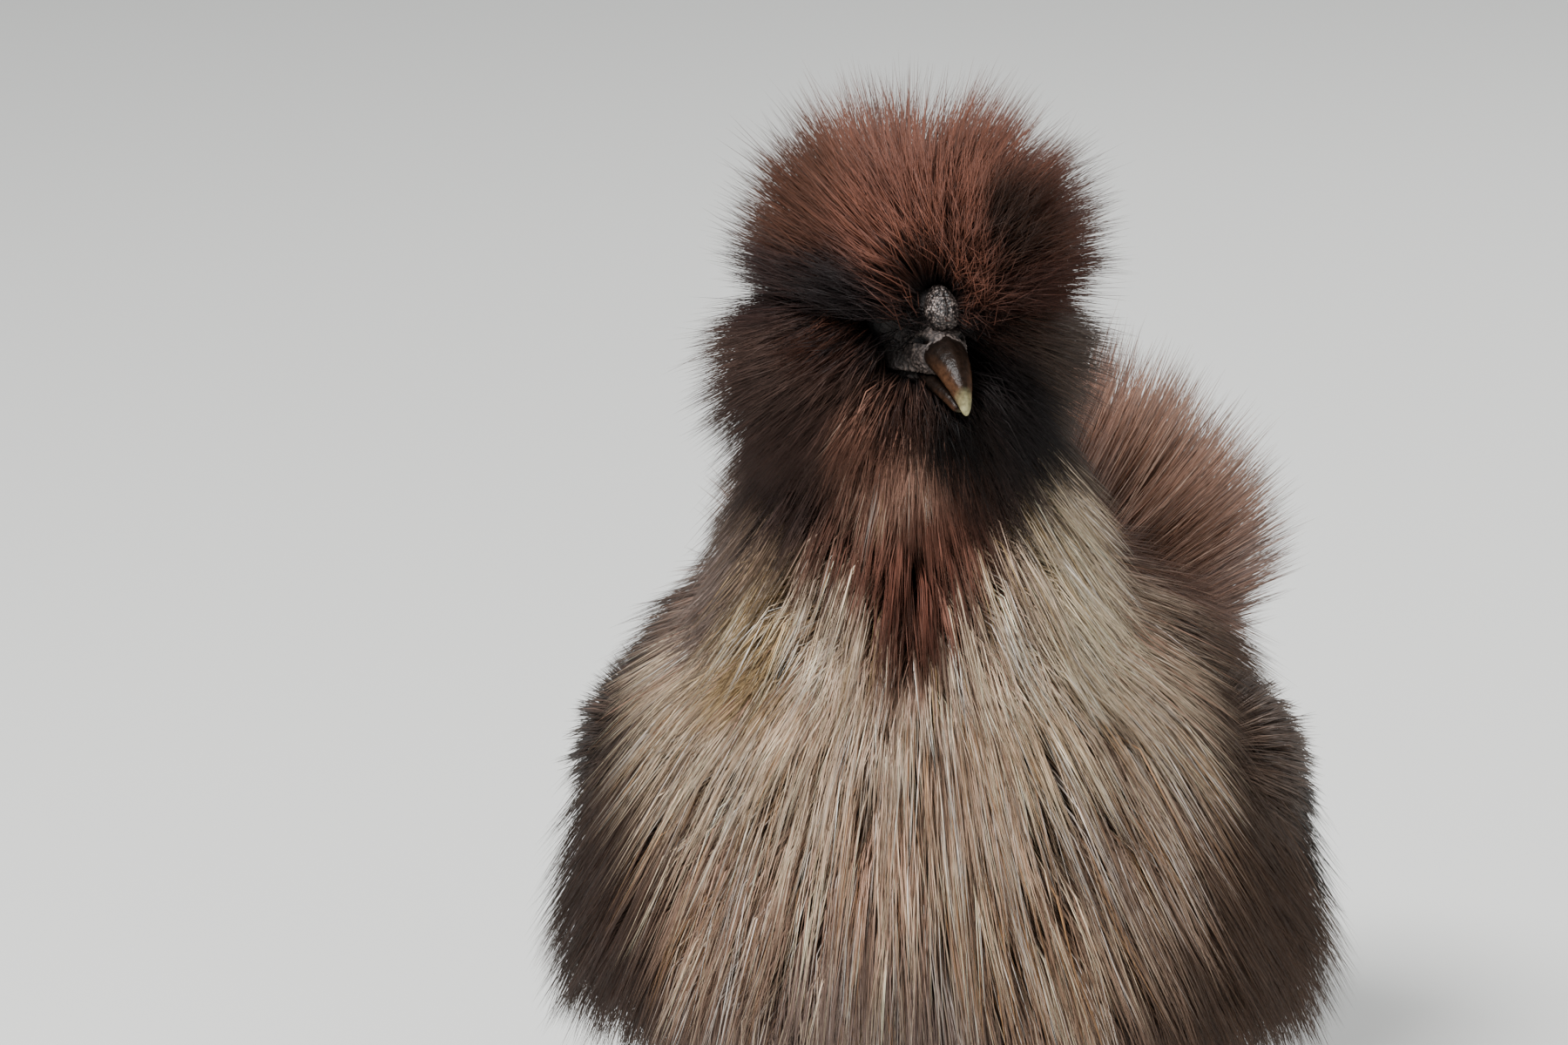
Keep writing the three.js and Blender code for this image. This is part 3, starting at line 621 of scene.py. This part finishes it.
def foldFace(skin):
    # a finer mesh round the bill, with its creases, the nostrils and the line of the mouth pressed in; it
    # gives back where shade is painted into these and where a highlight is painted on the ridges
    face = faceSettings
    centre = np.array(headPlace @ Vector(face["centre"]))
    near = np.linalg.norm(getPoints(skin) - centre, axis=1) < face["reach"]
    skin.data.vertices.foreach_set("select", near)
    bpy.context.view_layer.objects.active = skin
    skin.select_set(True)
    bpy.ops.object.mode_set(mode="EDIT")
    bpy.ops.mesh.select_mode(type="VERT")
    bpy.ops.mesh.subdivide(number_cuts=face["cuts"], smoothness=0)
    bpy.ops.mesh.select_all(action="DESELECT")
    bpy.ops.object.mode_set(mode="OBJECT")
    skin.select_set(False)
    points = getPoints(skin)
    normals = np.empty(points.size)
    skin.data.vertex_normals.foreach_get("vector", normals)
    aside, ahead, up = fromHead(points)
    aside = np.abs(aside)
    away = np.linalg.norm(points - centre, axis=1)
    within = np.clip((face["reach"] - 2 - away) / face["edge"], 0, 1)

    # creases ring the bill, and a crust of grains lies over them; sines of uneven pace keep both irregular
    ripple = np.sqrt((aside * 1.1) ** 2 + (ahead - face["rippleAhead"]) ** 2 + (up - face["rippleUp"]) ** 2)
    ripple += 0.7 * np.sin(aside * 1.3 + up * 0.9) + 0.5 * np.sin(ahead * 1.9 - up * 1.4)
    crust = np.sin(up * 5.1 + 2 * np.sin(ahead * 1.7)) * np.sin(ahead * 4.3 + 2 * np.sin(aside * 2.3))
    crease = face["creaseShare"] * np.sin(2 * np.pi * ripple / face["creaseWidth"])
    crease = (crease + face["crustShare"] * crust) * within

    noseAside, noseAlong, noseUp = face["nostril"]
    noseAhead = ahead + noseAlong
    noseLine = up - noseUp - face["noseSlope"] * noseAhead
    across = hill(aside - noseAside, face["noseWide"])
    nose = across * hill(noseAhead, face["noseLong"], 4) * hill(noseLine, face["noseHigh"], 4)
    rim = across * hill(noseAhead, face["rimLong"], 4) * hill(noseLine - face["rimAbove"], face["rimHigh"])

    mouthLine = up - face["mouthHeight"] + face["mouthFall"] * (face["mouthFront"] - ahead)
    gape = np.clip((ahead - face["mouthBack"]) / 2, 0, 1)
    mouth = hill(mouthLine, face["mouthHigh"]) * gape
    lips = hill(mouthLine - face["lipAbove"], face["lipHigh"]) * gape

    lift = (face["creaseLift"] * crease + face["rimLift"] * rim + face["lipLift"] * lips
            - face["noseDepth"] * nose - face["mouthDepth"] * mouth)
    setPoints(skin, points + normals.reshape(-1, 3) * lift[:, None])
    # painted shade in the nostrils, the mouth's line and the creases' troughs
    creaseShadeShare = np.clip(1.8 * nose + 1.2 * mouth - 0.4 * np.minimum(crease, 0), 0, 1)
    # a painted highlight on the crease ridges, the nostril rims and the lips, partly their paler crust
    ridges = np.clip(0.5 * np.maximum(crease, 0) + 0.5 * rim + 0.35 * lips, 0, 1)
    return creaseShadeShare, ridges * (np.clip((ahead - face["ridgesFrom"]) / 5, 0.1, 1) * within)


flesh = ["head", "neck", "torso", "saddle", "tail", "crest", "beard"] + [
    f"{part}_{side}" for part in ("muff", "wing", "thigh") for side in ("left", "right")]
skin = finished(makeSkin(), mulberrySkin(), flesh)
print("skin", len(skin.data.polygons), "faces")


# Bill
billSettings = {
    "root": "#110d0b", "middle": "#1d140f", "edge": "#4f3524", "tip": "#9a9670",
    "growthLift": 0.006, "growthPace": 2.6, "ridgeLift": 0.07, "ridgeWidth": 1.1, "ridgeFrom": -6,
    "middleFrom": 20, "middleBlend": 12, "edgeFrom": 2.2, "edgeBlend": 1.8, "edgeAhead": 31,
    "edgeShare": 0.75, "paleFrom": 35.4, "paleSlope": 0.15, "paleBlend": 5,
}
upperBill = stack([
    (15, -2, 0, 0, 0), (17, -2, 4.6, 3.4, 3.8), (22, -2.3, 5.5, 3.7, 4.6), (27, -3.1, 4.8, 3.3, 4.3),
    (32, -4.8, 3.6, 2.9, 3.6), (36, -7.1, 2.3, 2.4, 2.8), (38.6, -9.6, 1.1, 1.4, 1.8),
    (39.2, -10.8, 0, 0, 0)], billPlace)
lowerBill = stack([
    (14, -9, 0, 0, 0), (16, -9, 4.4, 2.6, 1.8), (22, -9, 4.8, 2.7, 1.9), (27, -9.5, 3.9, 2.3, 2.1),
    (31, -10.3, 2.8, 1.7, 1.9), (34.5, -11.3, 1.6, 0.9, 1.2), (35.5, -11.6, 0, 0, 0)], billPlace)


def makeBill(name, form):
    bill = formMesh(name, form, 48, 56)
    points = getPoints(bill)
    aside, ahead, up = fromHead(points)
    # growth ridges across the horn, and a ridge along its top
    away = points - points.mean(axis=0)
    growth = np.sin(ahead * billSettings["growthPace"] + up)
    ridge = hill(aside, billSettings["ridgeWidth"]) * np.clip((up - billSettings["ridgeFrom"]) / 6, 0, 1)
    points += away * (billSettings["growthLift"] * growth)[:, None]
    points += away * (billSettings["ridgeLift"] * ridge)[:, None]
    setPoints(bill, points)
    low, middle, edge, high = coloursOf(billSettings, "root", "middle", "edge", "tip")
    rise = np.clip((ahead - billSettings["middleFrom"]) / billSettings["middleBlend"], 0, 1)
    cutting = (np.abs(aside) - billSettings["edgeFrom"]) / billSettings["edgeBlend"]
    cutting = np.clip(cutting + (ahead - billSettings["edgeAhead"]) / 5, 0, 1)
    cutting *= rise * billSettings["edgeShare"]
    pale = ahead - billSettings["paleFrom"] - billSettings["paleSlope"] * (up + 8)
    colours = blended(blended(low, middle, rise), edge, cutting)
    paint(bill, blended(colours, high, np.clip(pale / billSettings["paleBlend"], 0, 1)))
    return bill


horn = billHorn()
finished(makeBill("beakUpper", upperBill), horn, ["beak_upper"])
finished(makeBill("beakLower", lowerBill), horn, ["beak_lower"])
print("bill")


# Comb
combSettings = {
    "centre": (0.4, -15.5, 8), "sizes": (3.9, 6.2, 6.2, 4.6, 5.5), "pitch": 0.35, "spread": 1.02,
    "wedge": 0.42, "crown": 0.1, "grains": 420, "grainRadius": 0.095, "grainEdge": 0.8, "grainHeight": 0.3,
    "furrowWidth": 0.11, "furrowDepth": 0.45, "notchAt": -0.45, "notchWidth": 0.09, "notchDepth": 0.35,
}
combForm = inHead(combSettings["centre"], *combSettings["sizes"], pitch=combSettings["pitch"])


def makeComb():
    comb = formMesh("comb", combForm, 160, 110)
    side, front, back, top, _ = combSettings["sizes"]
    place = (headPlace @ Matrix.Translation(combSettings["centre"])
             @ Matrix.Rotation(combSettings["pitch"], 4, "X"))
    ball = placed(getPoints(comb), place.inverted())
    # a wedge, narrower towards its back and its top
    ball[:, 0] *= combSettings["spread"] - combSettings["wedge"] * ball[:, 1] / back - (
        combSettings["crown"] * ball[:, 2] / top)
    points = placed(ball, place)
    ball /= np.array((side, front, top))
    ball /= np.linalg.norm(ball, axis=1, keepdims=True)
    # grains in a spiral all over it but its underside
    index = np.arange(combSettings["grains"])
    height = 1 - 1.7 * (index + 0.5) / combSettings["grains"]
    ring = np.sqrt(1 - height ** 2)
    around = index * math.pi * (3 - math.sqrt(5))
    grains = np.stack([ring * np.cos(around), ring * np.sin(around), height], axis=1)
    away = np.sqrt(np.maximum(2 - 2 * ball @ grains.T, 0)).min(axis=1) / combSettings["grainRadius"]
    lift = np.sqrt(np.clip(1 - (away * combSettings["grainEdge"]) ** 2, 0, 1)) * combSettings["grainHeight"]
    # a furrow along it and a notch across it
    lift -= combSettings["furrowDepth"] * hill(ball[:, 0], combSettings["furrowWidth"])
    lift -= combSettings["notchDepth"] * hill(
        ball[:, 1] - combSettings["notchAt"], combSettings["notchWidth"])
    outward = points - points.mean(axis=0)
    outward /= np.linalg.norm(outward, axis=1, keepdims=True)
    setPoints(comb, points + outward * lift[:, None])
    return comb


finished(makeComb(), combSkin(), ["comb"])
print("comb")


# Eyes and lids
eyeSettings = {
    "radius": 4.75, "iris": "#2a1710", "pupil": "#050404", "white": "#120d0c", "gaze": (1, -0.28, 0.05),
    "irisFrom": 0.62, "irisEdge": 0.06, "pupilFrom": 0.88, "pupilEdge": 0.03,
}
lidSettings = {
    "radius": 4.3, "thick": 0.95, "colour": "#2b2528", "out": 2.7, "ahead": 0.9, "turn": 0.28,
    "creases": 17, "creaseDepth": 0.1,
}


def makeEye(side):
    centre = (side * eyePlace.x, eyePlace.y, eyePlace.z)
    radius = eyeSettings["radius"]
    eye = formMesh("eye", inHead(centre, *[radius] * 5), 48, 32)
    local = placed(getPoints(eye), headPlace.inverted()) - np.array(centre)
    facing = local @ np.array(Vector(mirrored(eyeSettings["gaze"], side)).normalized()) / radius
    white, iris, pupil = coloursOf(eyeSettings, "white", "iris", "pupil")
    irisShare = np.clip((facing - eyeSettings["irisFrom"]) / eyeSettings["irisEdge"], 0, 1)
    pupilShare = np.clip((facing - eyeSettings["pupilFrom"]) / eyeSettings["pupilEdge"], 0, 1)
    paint(eye, blended(blended(white, iris, irisShare), pupil, pupilShare))
    return eye


def makeLid(side):
    # a creased ring round the eye
    bpy.ops.mesh.primitive_torus_add(major_radius=lidSettings["radius"], minor_radius=lidSettings["thick"],
                                     major_segments=56, minor_segments=20)
    lid = bpy.context.object
    lid.name = "lid"
    points = getPoints(lid)
    around = np.arctan2(points[:, 1], points[:, 0])
    crease = np.sin(lidSettings["creases"] * around) * np.sin(3 * points[:, 2] / lidSettings["thick"])
    crease = 1 + lidSettings["creaseDepth"] * crease
    points[:, :2] *= (0.97 + 0.03 * crease)[:, None]
    points[:, 2] *= crease
    centre = (side * (eyePlace.x + lidSettings["out"]), eyePlace.y - lidSettings["ahead"], eyePlace.z)
    place = headPlace @ Matrix.Translation(centre) @ Matrix.Rotation(side * -lidSettings["turn"], 4, "Z")
    place = place @ Matrix.Rotation(math.pi / 2, 4, "Y")
    setPoints(lid, placed(points, place))
    paint(lid, np.tile(linear(lidSettings["colour"]), (len(points), 1)))
    lid.select_set(False)
    return lid


eyeFinish = wetEye()
for sideName, side in sides:
    eye = makeEye(side)
    eye.name = f"eye_{sideName}_ball"
    finished(eye, eyeFinish, [f"eye_{sideName}"])
lids = joined("eyelids", [makeLid(1), makeLid(-1)])
finished(lids, skin.data.materials[0], ["head"])
print("eyes")


# Feet
footSettings = {
    "scutes": 11, "scuteLift": 0.07, "scuteLength": 2.4, "padLift": 0.05, "padLength": 9, "taper": 0.35,
    "tipHeight": 2.6, "soleDepth": 1.2, "voxel": 0.55,
}
shankRings = [
    (5, 2, 0, 0, 0), (7, 2, 6, 6.5, 6), (12, 3, 5, 5, 5), (25, 6, 4.4, 4.4, 4.6),
    (44, 10, 5.4, 5.6, 5.6), (56, 13, 6.5, 6.5, 6.5), (60, 13, 0, 0, 0)]
toes = [  # heading from straight ahead towards the outside, length, pitch, root height, half thickness
    (2, 36, 0, 5.4, 3.9), (34, 30, 0, 5.2, 3.6), (-32, 26, 0, 5.2, 3.6), (197, 15, 0, 5.2, 3.4),
    (222, 15, 0.55, 9, 3.2)]
clawRings = [
    (-2, 0, 0, 0, 0), (-1.4, 0, 1.6, 1.6, 1.6), (3, 0.3, 1.5, 1.4, 1.4), (7, -0.4, 0.8, 0.8, 0.8),
    (9, -1.3, 0, 0, 0)]


def toePlace(side, toe, height):
    heading, _, pitch, _, _ = toe
    return (Matrix.Translation((side * footApart, 2, height))
            @ Matrix.Rotation(math.radians(side * heading), 4, "Z")
            @ Matrix.Rotation(math.pi / 2 - pitch, 4, "X"))


def shankForm(side):
    return stack(shankRings, Matrix.Translation((side * footApart, 2, 0)))


def toeForm(side, toe):
    _, length, pitch, height, thick = toe
    fall = 0 if pitch else height - footSettings["tipHeight"]
    sole = 0 if pitch else footSettings["soleDepth"]
    rings = [(-3, 0, 0, 0, 0)]
    steps = 4 * footSettings["scutes"]
    for i in range(steps + 1):
        along = i / steps
        pad = 1 + footSettings["padLift"] * math.sin(along * length / footSettings["padLength"] * 2 * math.pi)
        scute = 1 + footSettings["scuteLift"] * (along * length / footSettings["scuteLength"] % 1)
        rounding = math.sqrt(1 - 0.7 * max(0, along * 5 - 4) ** 2)  # over the last fifth
        wide = thick * (1 - footSettings["taper"] * along) * pad * rounding
        rings.append((along * (length - 1.5), -fall * along, wide, wide + sole, wide * scute))
    rings.append((length, -fall, 0, 0, 0))
    return stack(rings, toePlace(side, toe, height))


def keepOnFloor(piece):
    points = getPoints(piece)
    points[:, 2] = np.maximum(points[:, 2], 0)
    setPoints(piece, points)
    return piece


def makeFoot(side):
    parts = [formMesh("shank", shankForm(side), 32, 40)]
    parts += [formMesh("toe", toeForm(side, toe), 28, 120) for toe in toes]
    foot = joined("foot", parts)
    applied(foot, "REMESH", mode="VOXEL", voxel_size=footSettings["voxel"])
    applied(foot, "SMOOTH", factor=0.4, iterations=2)
    return keepOnFloor(foot)


def makeClaws(side):
    claws = []
    for toe in toes:
        _, length, pitch, height, _ = toe
        tip = toePlace(side, toe, height if pitch else footSettings["tipHeight"])
        tip = tip @ Matrix.Translation((0, 0, length))
        claws.append(formMesh("claw", stack(clawRings, tip), 20, 24))
    return keepOnFloor(joined("claws", claws))


legSkin, clawFinish = scaledSkin(), clawHorn()
for sideName, side in sides:
    foot = makeFoot(side)
    foot.name = f"foot_{sideName}_scaled"
    finished(foot, legSkin, [f"foot_{sideName}"])
    claws = makeClaws(side)
    claws.name = f"claws_{sideName}"
    finished(claws, clawFinish, [f"claw_{sideName}_{i}" for i in range(1, 6)])
print("feet")


# Coats
crestOutline = egg((3, -51, 257), 50, 44, 46, 43, 26)
neckOutline = stack([
    (128, -42, 0, 0, 0), (134, -42, 62, 58, 56), (150, -42, 63, 59, 55), (170, -44, 57, 53, 49),
    (190, -47, 50, 43, 45), (206, -49, 42, 31, 43), (222, -50, 32, 20, 38), (236, -50, 22, 14, 28),
    (240, -50, 0, 0, 0)])
torsoOutline = stack([
    (24, 6, 0, 0, 0), (28, 6, 86, 70, 72), (42, 6, 104, 88, 92), (64, 6, 106, 100, 102),
    (90, 6, 99, 107, 108), (116, 6, 92, 112, 112), (141, 6, 83, 110, 108), (161, 6, 62, 100, 98),
    (180, 6, 38, 66, 76), (188, 6, 0, 0, 0)])
saddleOutline = egg((saddleLean, 63, 158), 79, 58, 42, 62, 58, pitch=rumpPitch)
tailOutline = egg((tailLean, 100, 152), 46, 44, 42, 42, 40, pitch=rumpPitch)
beardOutline = inHead((0, -12, -27), 36, 31, 20, 15, 40)
crestCap = inHead((0, 3, 6), 14, 15, 18, 10, 10)


def muffBed(side):
    return inHead(mirrored((9, 4, -8), side), 6, 10, 12, 7, 9)


def muffOutline(side):
    return inHead(mirrored((26, 2, -16), side), 31, 24, 27, 17, 36)


def wingBed(side):
    return egg((side * 68, 10, 106), 21, 24, 27, 54, 34, pitch=wingPitch)


def wingOutline(side):
    return egg((side * 72, 14, 104), 26, 31, 34, 66, 42, pitch=wingPitch)


def thighOutline(side):
    return egg((side * 50, 8, 60), 55, 54, 60, 36, 42)


hackleTints = [("#ffe8c9", 0.22), ("#fbf2e8", 0.1), ("#b2966a", 0.1), ("#33241d", 0.22)]
breastTints = [("#ffe6c6", 0.2), ("#fbf0e6", 0.1), ("#b98b5c", 0.08), ("#35231b", 0.24)]
rumpTints = [("#a67f6b", 0.2), ("#382820", 0.14), ("#cbab96", 0.06)]
crestTints = [("#84503a", 0.16), ("#1d110c", 0.16)]
beardTints = [("#8f6858", 0.1), ("#241a18", 0.14), ("#a99686", 0.03)]
wingTints = [("#8d7a6c", 0.25), ("#2c211e", 0.2)]
headDown = {"each": 8, "pull": 0.3, "width": 0.36, "parted": True, "lobes": 0.03, "rootShade": 0.3}
faceDown = {**headDown, "apart": 8, "loose": 2.0, "wave": 1.6, "tints": beardTints, "mottle": 0.18}
streakedDown = {
    "each": 7, "apart": 3, "pull": 0.5, "loose": 0.9, "width": 0.4, "tintFrom": 0.16, "mottle": 0.22}
bodyDown = {"each": 8, "pull": 0.4, "wave": 1.1, "width": 0.52, "tints": rumpTints, "mottle": 0.17}
footDown = {**bodyDown, "each": 6, "mottle": 0.2}
coats = [
    {**headDown, "name": "crestTufts", "nodes": ["crest"], "slot": "crest_feathers", "seed": 1,
     "bed": crestCap, "outline": crestOutline, "clumps": 2300, "levels": (-0.34, 0.97), "even": True,
     "apart": 7, "drop": 0.14, "bow": 6, "loose": 2.4, "tousle": 3.4, "wave": 1.8, "tints": crestTints,
     "mottle": 0.17},
    {**faceDown, "name": "beardTufts", "nodes": ["beard"], "slot": "beard_feathers", "seed": 2,
     "bed": throatSkin, "outline": beardOutline, "clumps": 1500, "levels": (-0.75, 0.55),
     "span": (-130, 130), "drop": 0.3, "bow": 5, "tousle": 3.0},
    {**streakedDown, "name": "neckTufts", "nodes": ["neck"], "slot": "hackle_feathers", "seed": 3,
     "bed": neckSkin, "outline": neckOutline, "clumps": 2700, "levels": (-0.75, 0.72), "drop": 0.36,
     "bow": 6, "lie": 0.8, "tousle": 1.6, "wave": 1.0, "tints": hackleTints, "parted": True},
    {**streakedDown, "name": "breastTufts", "nodes": ["torso"], "slot": "breast_feathers", "seed": 4,
     "bed": torsoSkin, "outline": torsoOutline, "clumps": 2750, "levels": (-0.86, 0.62),
     "span": (-100, 100), "drop": 0.34, "bow": 7, "sweep": 5, "lie": 0.85, "tousle": 1.8, "wave": 1.1,
     "tints": breastTints},
    {**bodyDown, "name": "mantleTufts", "nodes": ["torso"], "slot": "breast_feathers", "seed": 8,
     "bed": torsoSkin, "outline": torsoOutline, "clumps": 1500, "each": 7, "levels": (0.36, 0.88),
     "apart": 4, "drop": 0.18, "bow": 5, "lie": 0.7, "loose": 1.1, "tousle": 1.6, "wave": 1.0,
     "width": 0.5, "mottle": 0.18},
    {**bodyDown, "name": "rearTufts", "nodes": ["torso"], "slot": "breast_feathers", "seed": 5,
     "bed": torsoSkin, "outline": torsoOutline, "clumps": 1700, "levels": (-0.86, 0.66), "span": (80, 280),
     "apart": 4, "drop": 0.34, "bow": 7, "sweep": 6, "lie": 0.8, "loose": 1.3, "tousle": 1.8,
     "mottle": 0.18},
    {**bodyDown, "name": "saddleTufts", "nodes": ["saddle"], "slot": "saddle_feathers", "seed": 6,
     "bed": saddleSkin, "outline": saddleOutline, "clumps": 1700, "levels": (-0.85, 0.6),
     "span": (-125, 125), "apart": 6, "drop": -0.36, "pull": 0.3, "bow": 8, "loose": 1.4, "tousle": 2.2,
     "wave": 1.2, "width": 0.46},
    {**bodyDown, "name": "tailTufts", "nodes": ["tail"], "slot": "tail_feathers", "seed": 7,
     "bed": tailSkin, "outline": tailOutline, "clumps": 800, "levels": (-0.5, 0.8), "apart": 7,
     "drop": -0.3, "pull": 0.35, "bow": 6, "loose": 1.3, "tousle": 2.0},
]
for sideName, side in sides:
    outer = (0, 180) if side > 0 else (-180, 0)
    cheek = (-10, 190) if side > 0 else (-190, 10)
    shank = shankForm(side)
    outerToe = toeForm(side, toes[1])
    coats += [
        {**faceDown, "name": f"muffTufts_{sideName}", "nodes": [f"muff_{sideName}"],
         "slot": "muff_feathers", "seed": 10 + side, "bed": muffBed(side), "outline": muffOutline(side),
         "clumps": 1050, "levels": (-0.75, 0.85), "span": cheek, "drop": 0.22, "bow": 4, "tousle": 2.8},
        {**bodyDown, "name": f"wingTufts_{sideName}", "nodes": [f"wing_{sideName}"],
         "slot": "wing_feathers", "seed": 20 + side, "bed": wingBed(side), "outline": wingOutline(side),
         "clumps": 660, "levels": (-0.75, 0.55), "span": outer, "apart": 6, "drop": -0.46, "bow": 2,
         "loose": 0.8, "tousle": 1.4, "wave": 0.6, "width": 0.5, "tints": wingTints, "mottle": 0.2},
        {**bodyDown, "name": f"thighTufts_{sideName}", "nodes": [f"thigh_{sideName}"],
         "slot": "thigh_feathers", "seed": 30 + side, "bed": thighSkin(side), "outline": thighOutline(side),
         "clumps": 640, "levels": (-0.8, 0.5), "apart": 6, "drop": 0.36, "bow": 6, "lie": 0.6,
         "loose": 1.2, "tousle": 1.8},
        {**footDown, "name": f"shankTufts_{sideName}", "nodes": [f"foot_{sideName}"],
         "slot": "thigh_feathers", "seed": 40 + side, "bed": shank, "outline": partial(shank, grow=7),
         "clumps": 150, "levels": (-0.45, 0.3), "span": outer, "apart": 10, "drop": 0.3, "bow": 1.5,
         "loose": 0.5, "wave": 0.4, "width": 0.34},
        {**footDown, "name": f"toeTufts_{sideName}", "nodes": [f"foot_{sideName}"],
         "slot": "thigh_feathers", "seed": 50 + side, "bed": outerToe,
         "outline": partial(outerToe, grow=4.5), "clumps": 90, "levels": (-0.7, 0.35), "span": (100, 260),
         "apart": 8, "drop": -0.35, "bow": 1, "loose": 0.3, "wave": 0.3, "width": 0.3},
    ]
down = silkyDown()
for coat in coats:
    finished(makeTufts(coat), down, coat["nodes"])
print("coat", sum(coat["clumps"] * coat["each"] for coat in coats), "strands before parting")


# Floor, lights and camera
stageSettings = {
    "floor": 14, "pale": "#c4c4c1", "sky": "#dfe3e6", "skyStrength": 0.5, "viewTurn": 9, "viewLift": 12,
    "distance": 2600, "frameWidth": 391.3, "aside": -39.13, "rise": 169.06, "sensor": 36,
}
bpy.ops.mesh.primitive_plane_add(size=stageSettings["floor"])
floor = bpy.context.object
floor.name = "floor"
# uncoated paper, with no shine
floorColour = (*linear(stageSettings["pale"]), 1)
floorFinish, _ = newMaterial("matt paper floor", Roughness=0.9, Base_Color=floorColour)
floor.data.materials.append(floorFinish)

turn, lift = math.radians(stageSettings["viewTurn"]), math.radians(stageSettings["viewLift"])
right = Vector((math.cos(turn), math.sin(turn), 0))
ahead = Vector((-math.sin(turn) * math.cos(lift), math.cos(turn) * math.cos(lift), -math.sin(lift)))
upward = right.cross(ahead)
target = right * stageSettings["aside"] + upward * stageSettings["rise"] + ahead * ahead.dot(skull)
place = (target - ahead * stageSettings["distance"] + offset) * metre
cameraData = bpy.data.cameras.new("camera")
cameraData.sensor_width = stageSettings["sensor"]
cameraData.lens = stageSettings["sensor"] * stageSettings["distance"] / stageSettings["frameWidth"]
camera = bpy.data.objects.new("camera", cameraData)
bpy.context.collection.objects.link(camera)
camera.matrix_world = Matrix.Translation(place) @ ahead.to_track_quat("-Z", "Y").to_matrix().to_4x4()
bpy.context.scene.camera = camera


def softLight(name, direction, distance, size, power):
    data = bpy.data.lights.new(name, "AREA")
    data.size = size
    data.energy = power
    light = bpy.data.objects.new(name, data)
    bpy.context.collection.objects.link(light)
    towards = Vector(direction).normalized()
    aim = (skull + offset) * metre
    turned = towards.to_track_quat("Z", "Y").to_matrix().to_4x4()
    light.matrix_world = Matrix.Translation(aim + towards * distance) @ turned


softLight("key", (-0.35, -0.75, 1.1), 2.2, 0.8, 142)
softLight("fill", (0.9, -0.8, 0.45), 2.4, 1.6, 20)
softLight("rim", (0.5, 1.0, 0.9), 2.2, 1.0, 42)
world = bpy.data.worlds.new("soft studio")
world.use_nodes = True
sky = world.node_tree.nodes["Background"]
sky.inputs["Color"].default_value = (*linear(stageSettings["sky"]), 1)
sky.inputs["Strength"].default_value = stageSettings["skyStrength"]
bpy.context.scene.world = world

print("scene ready")
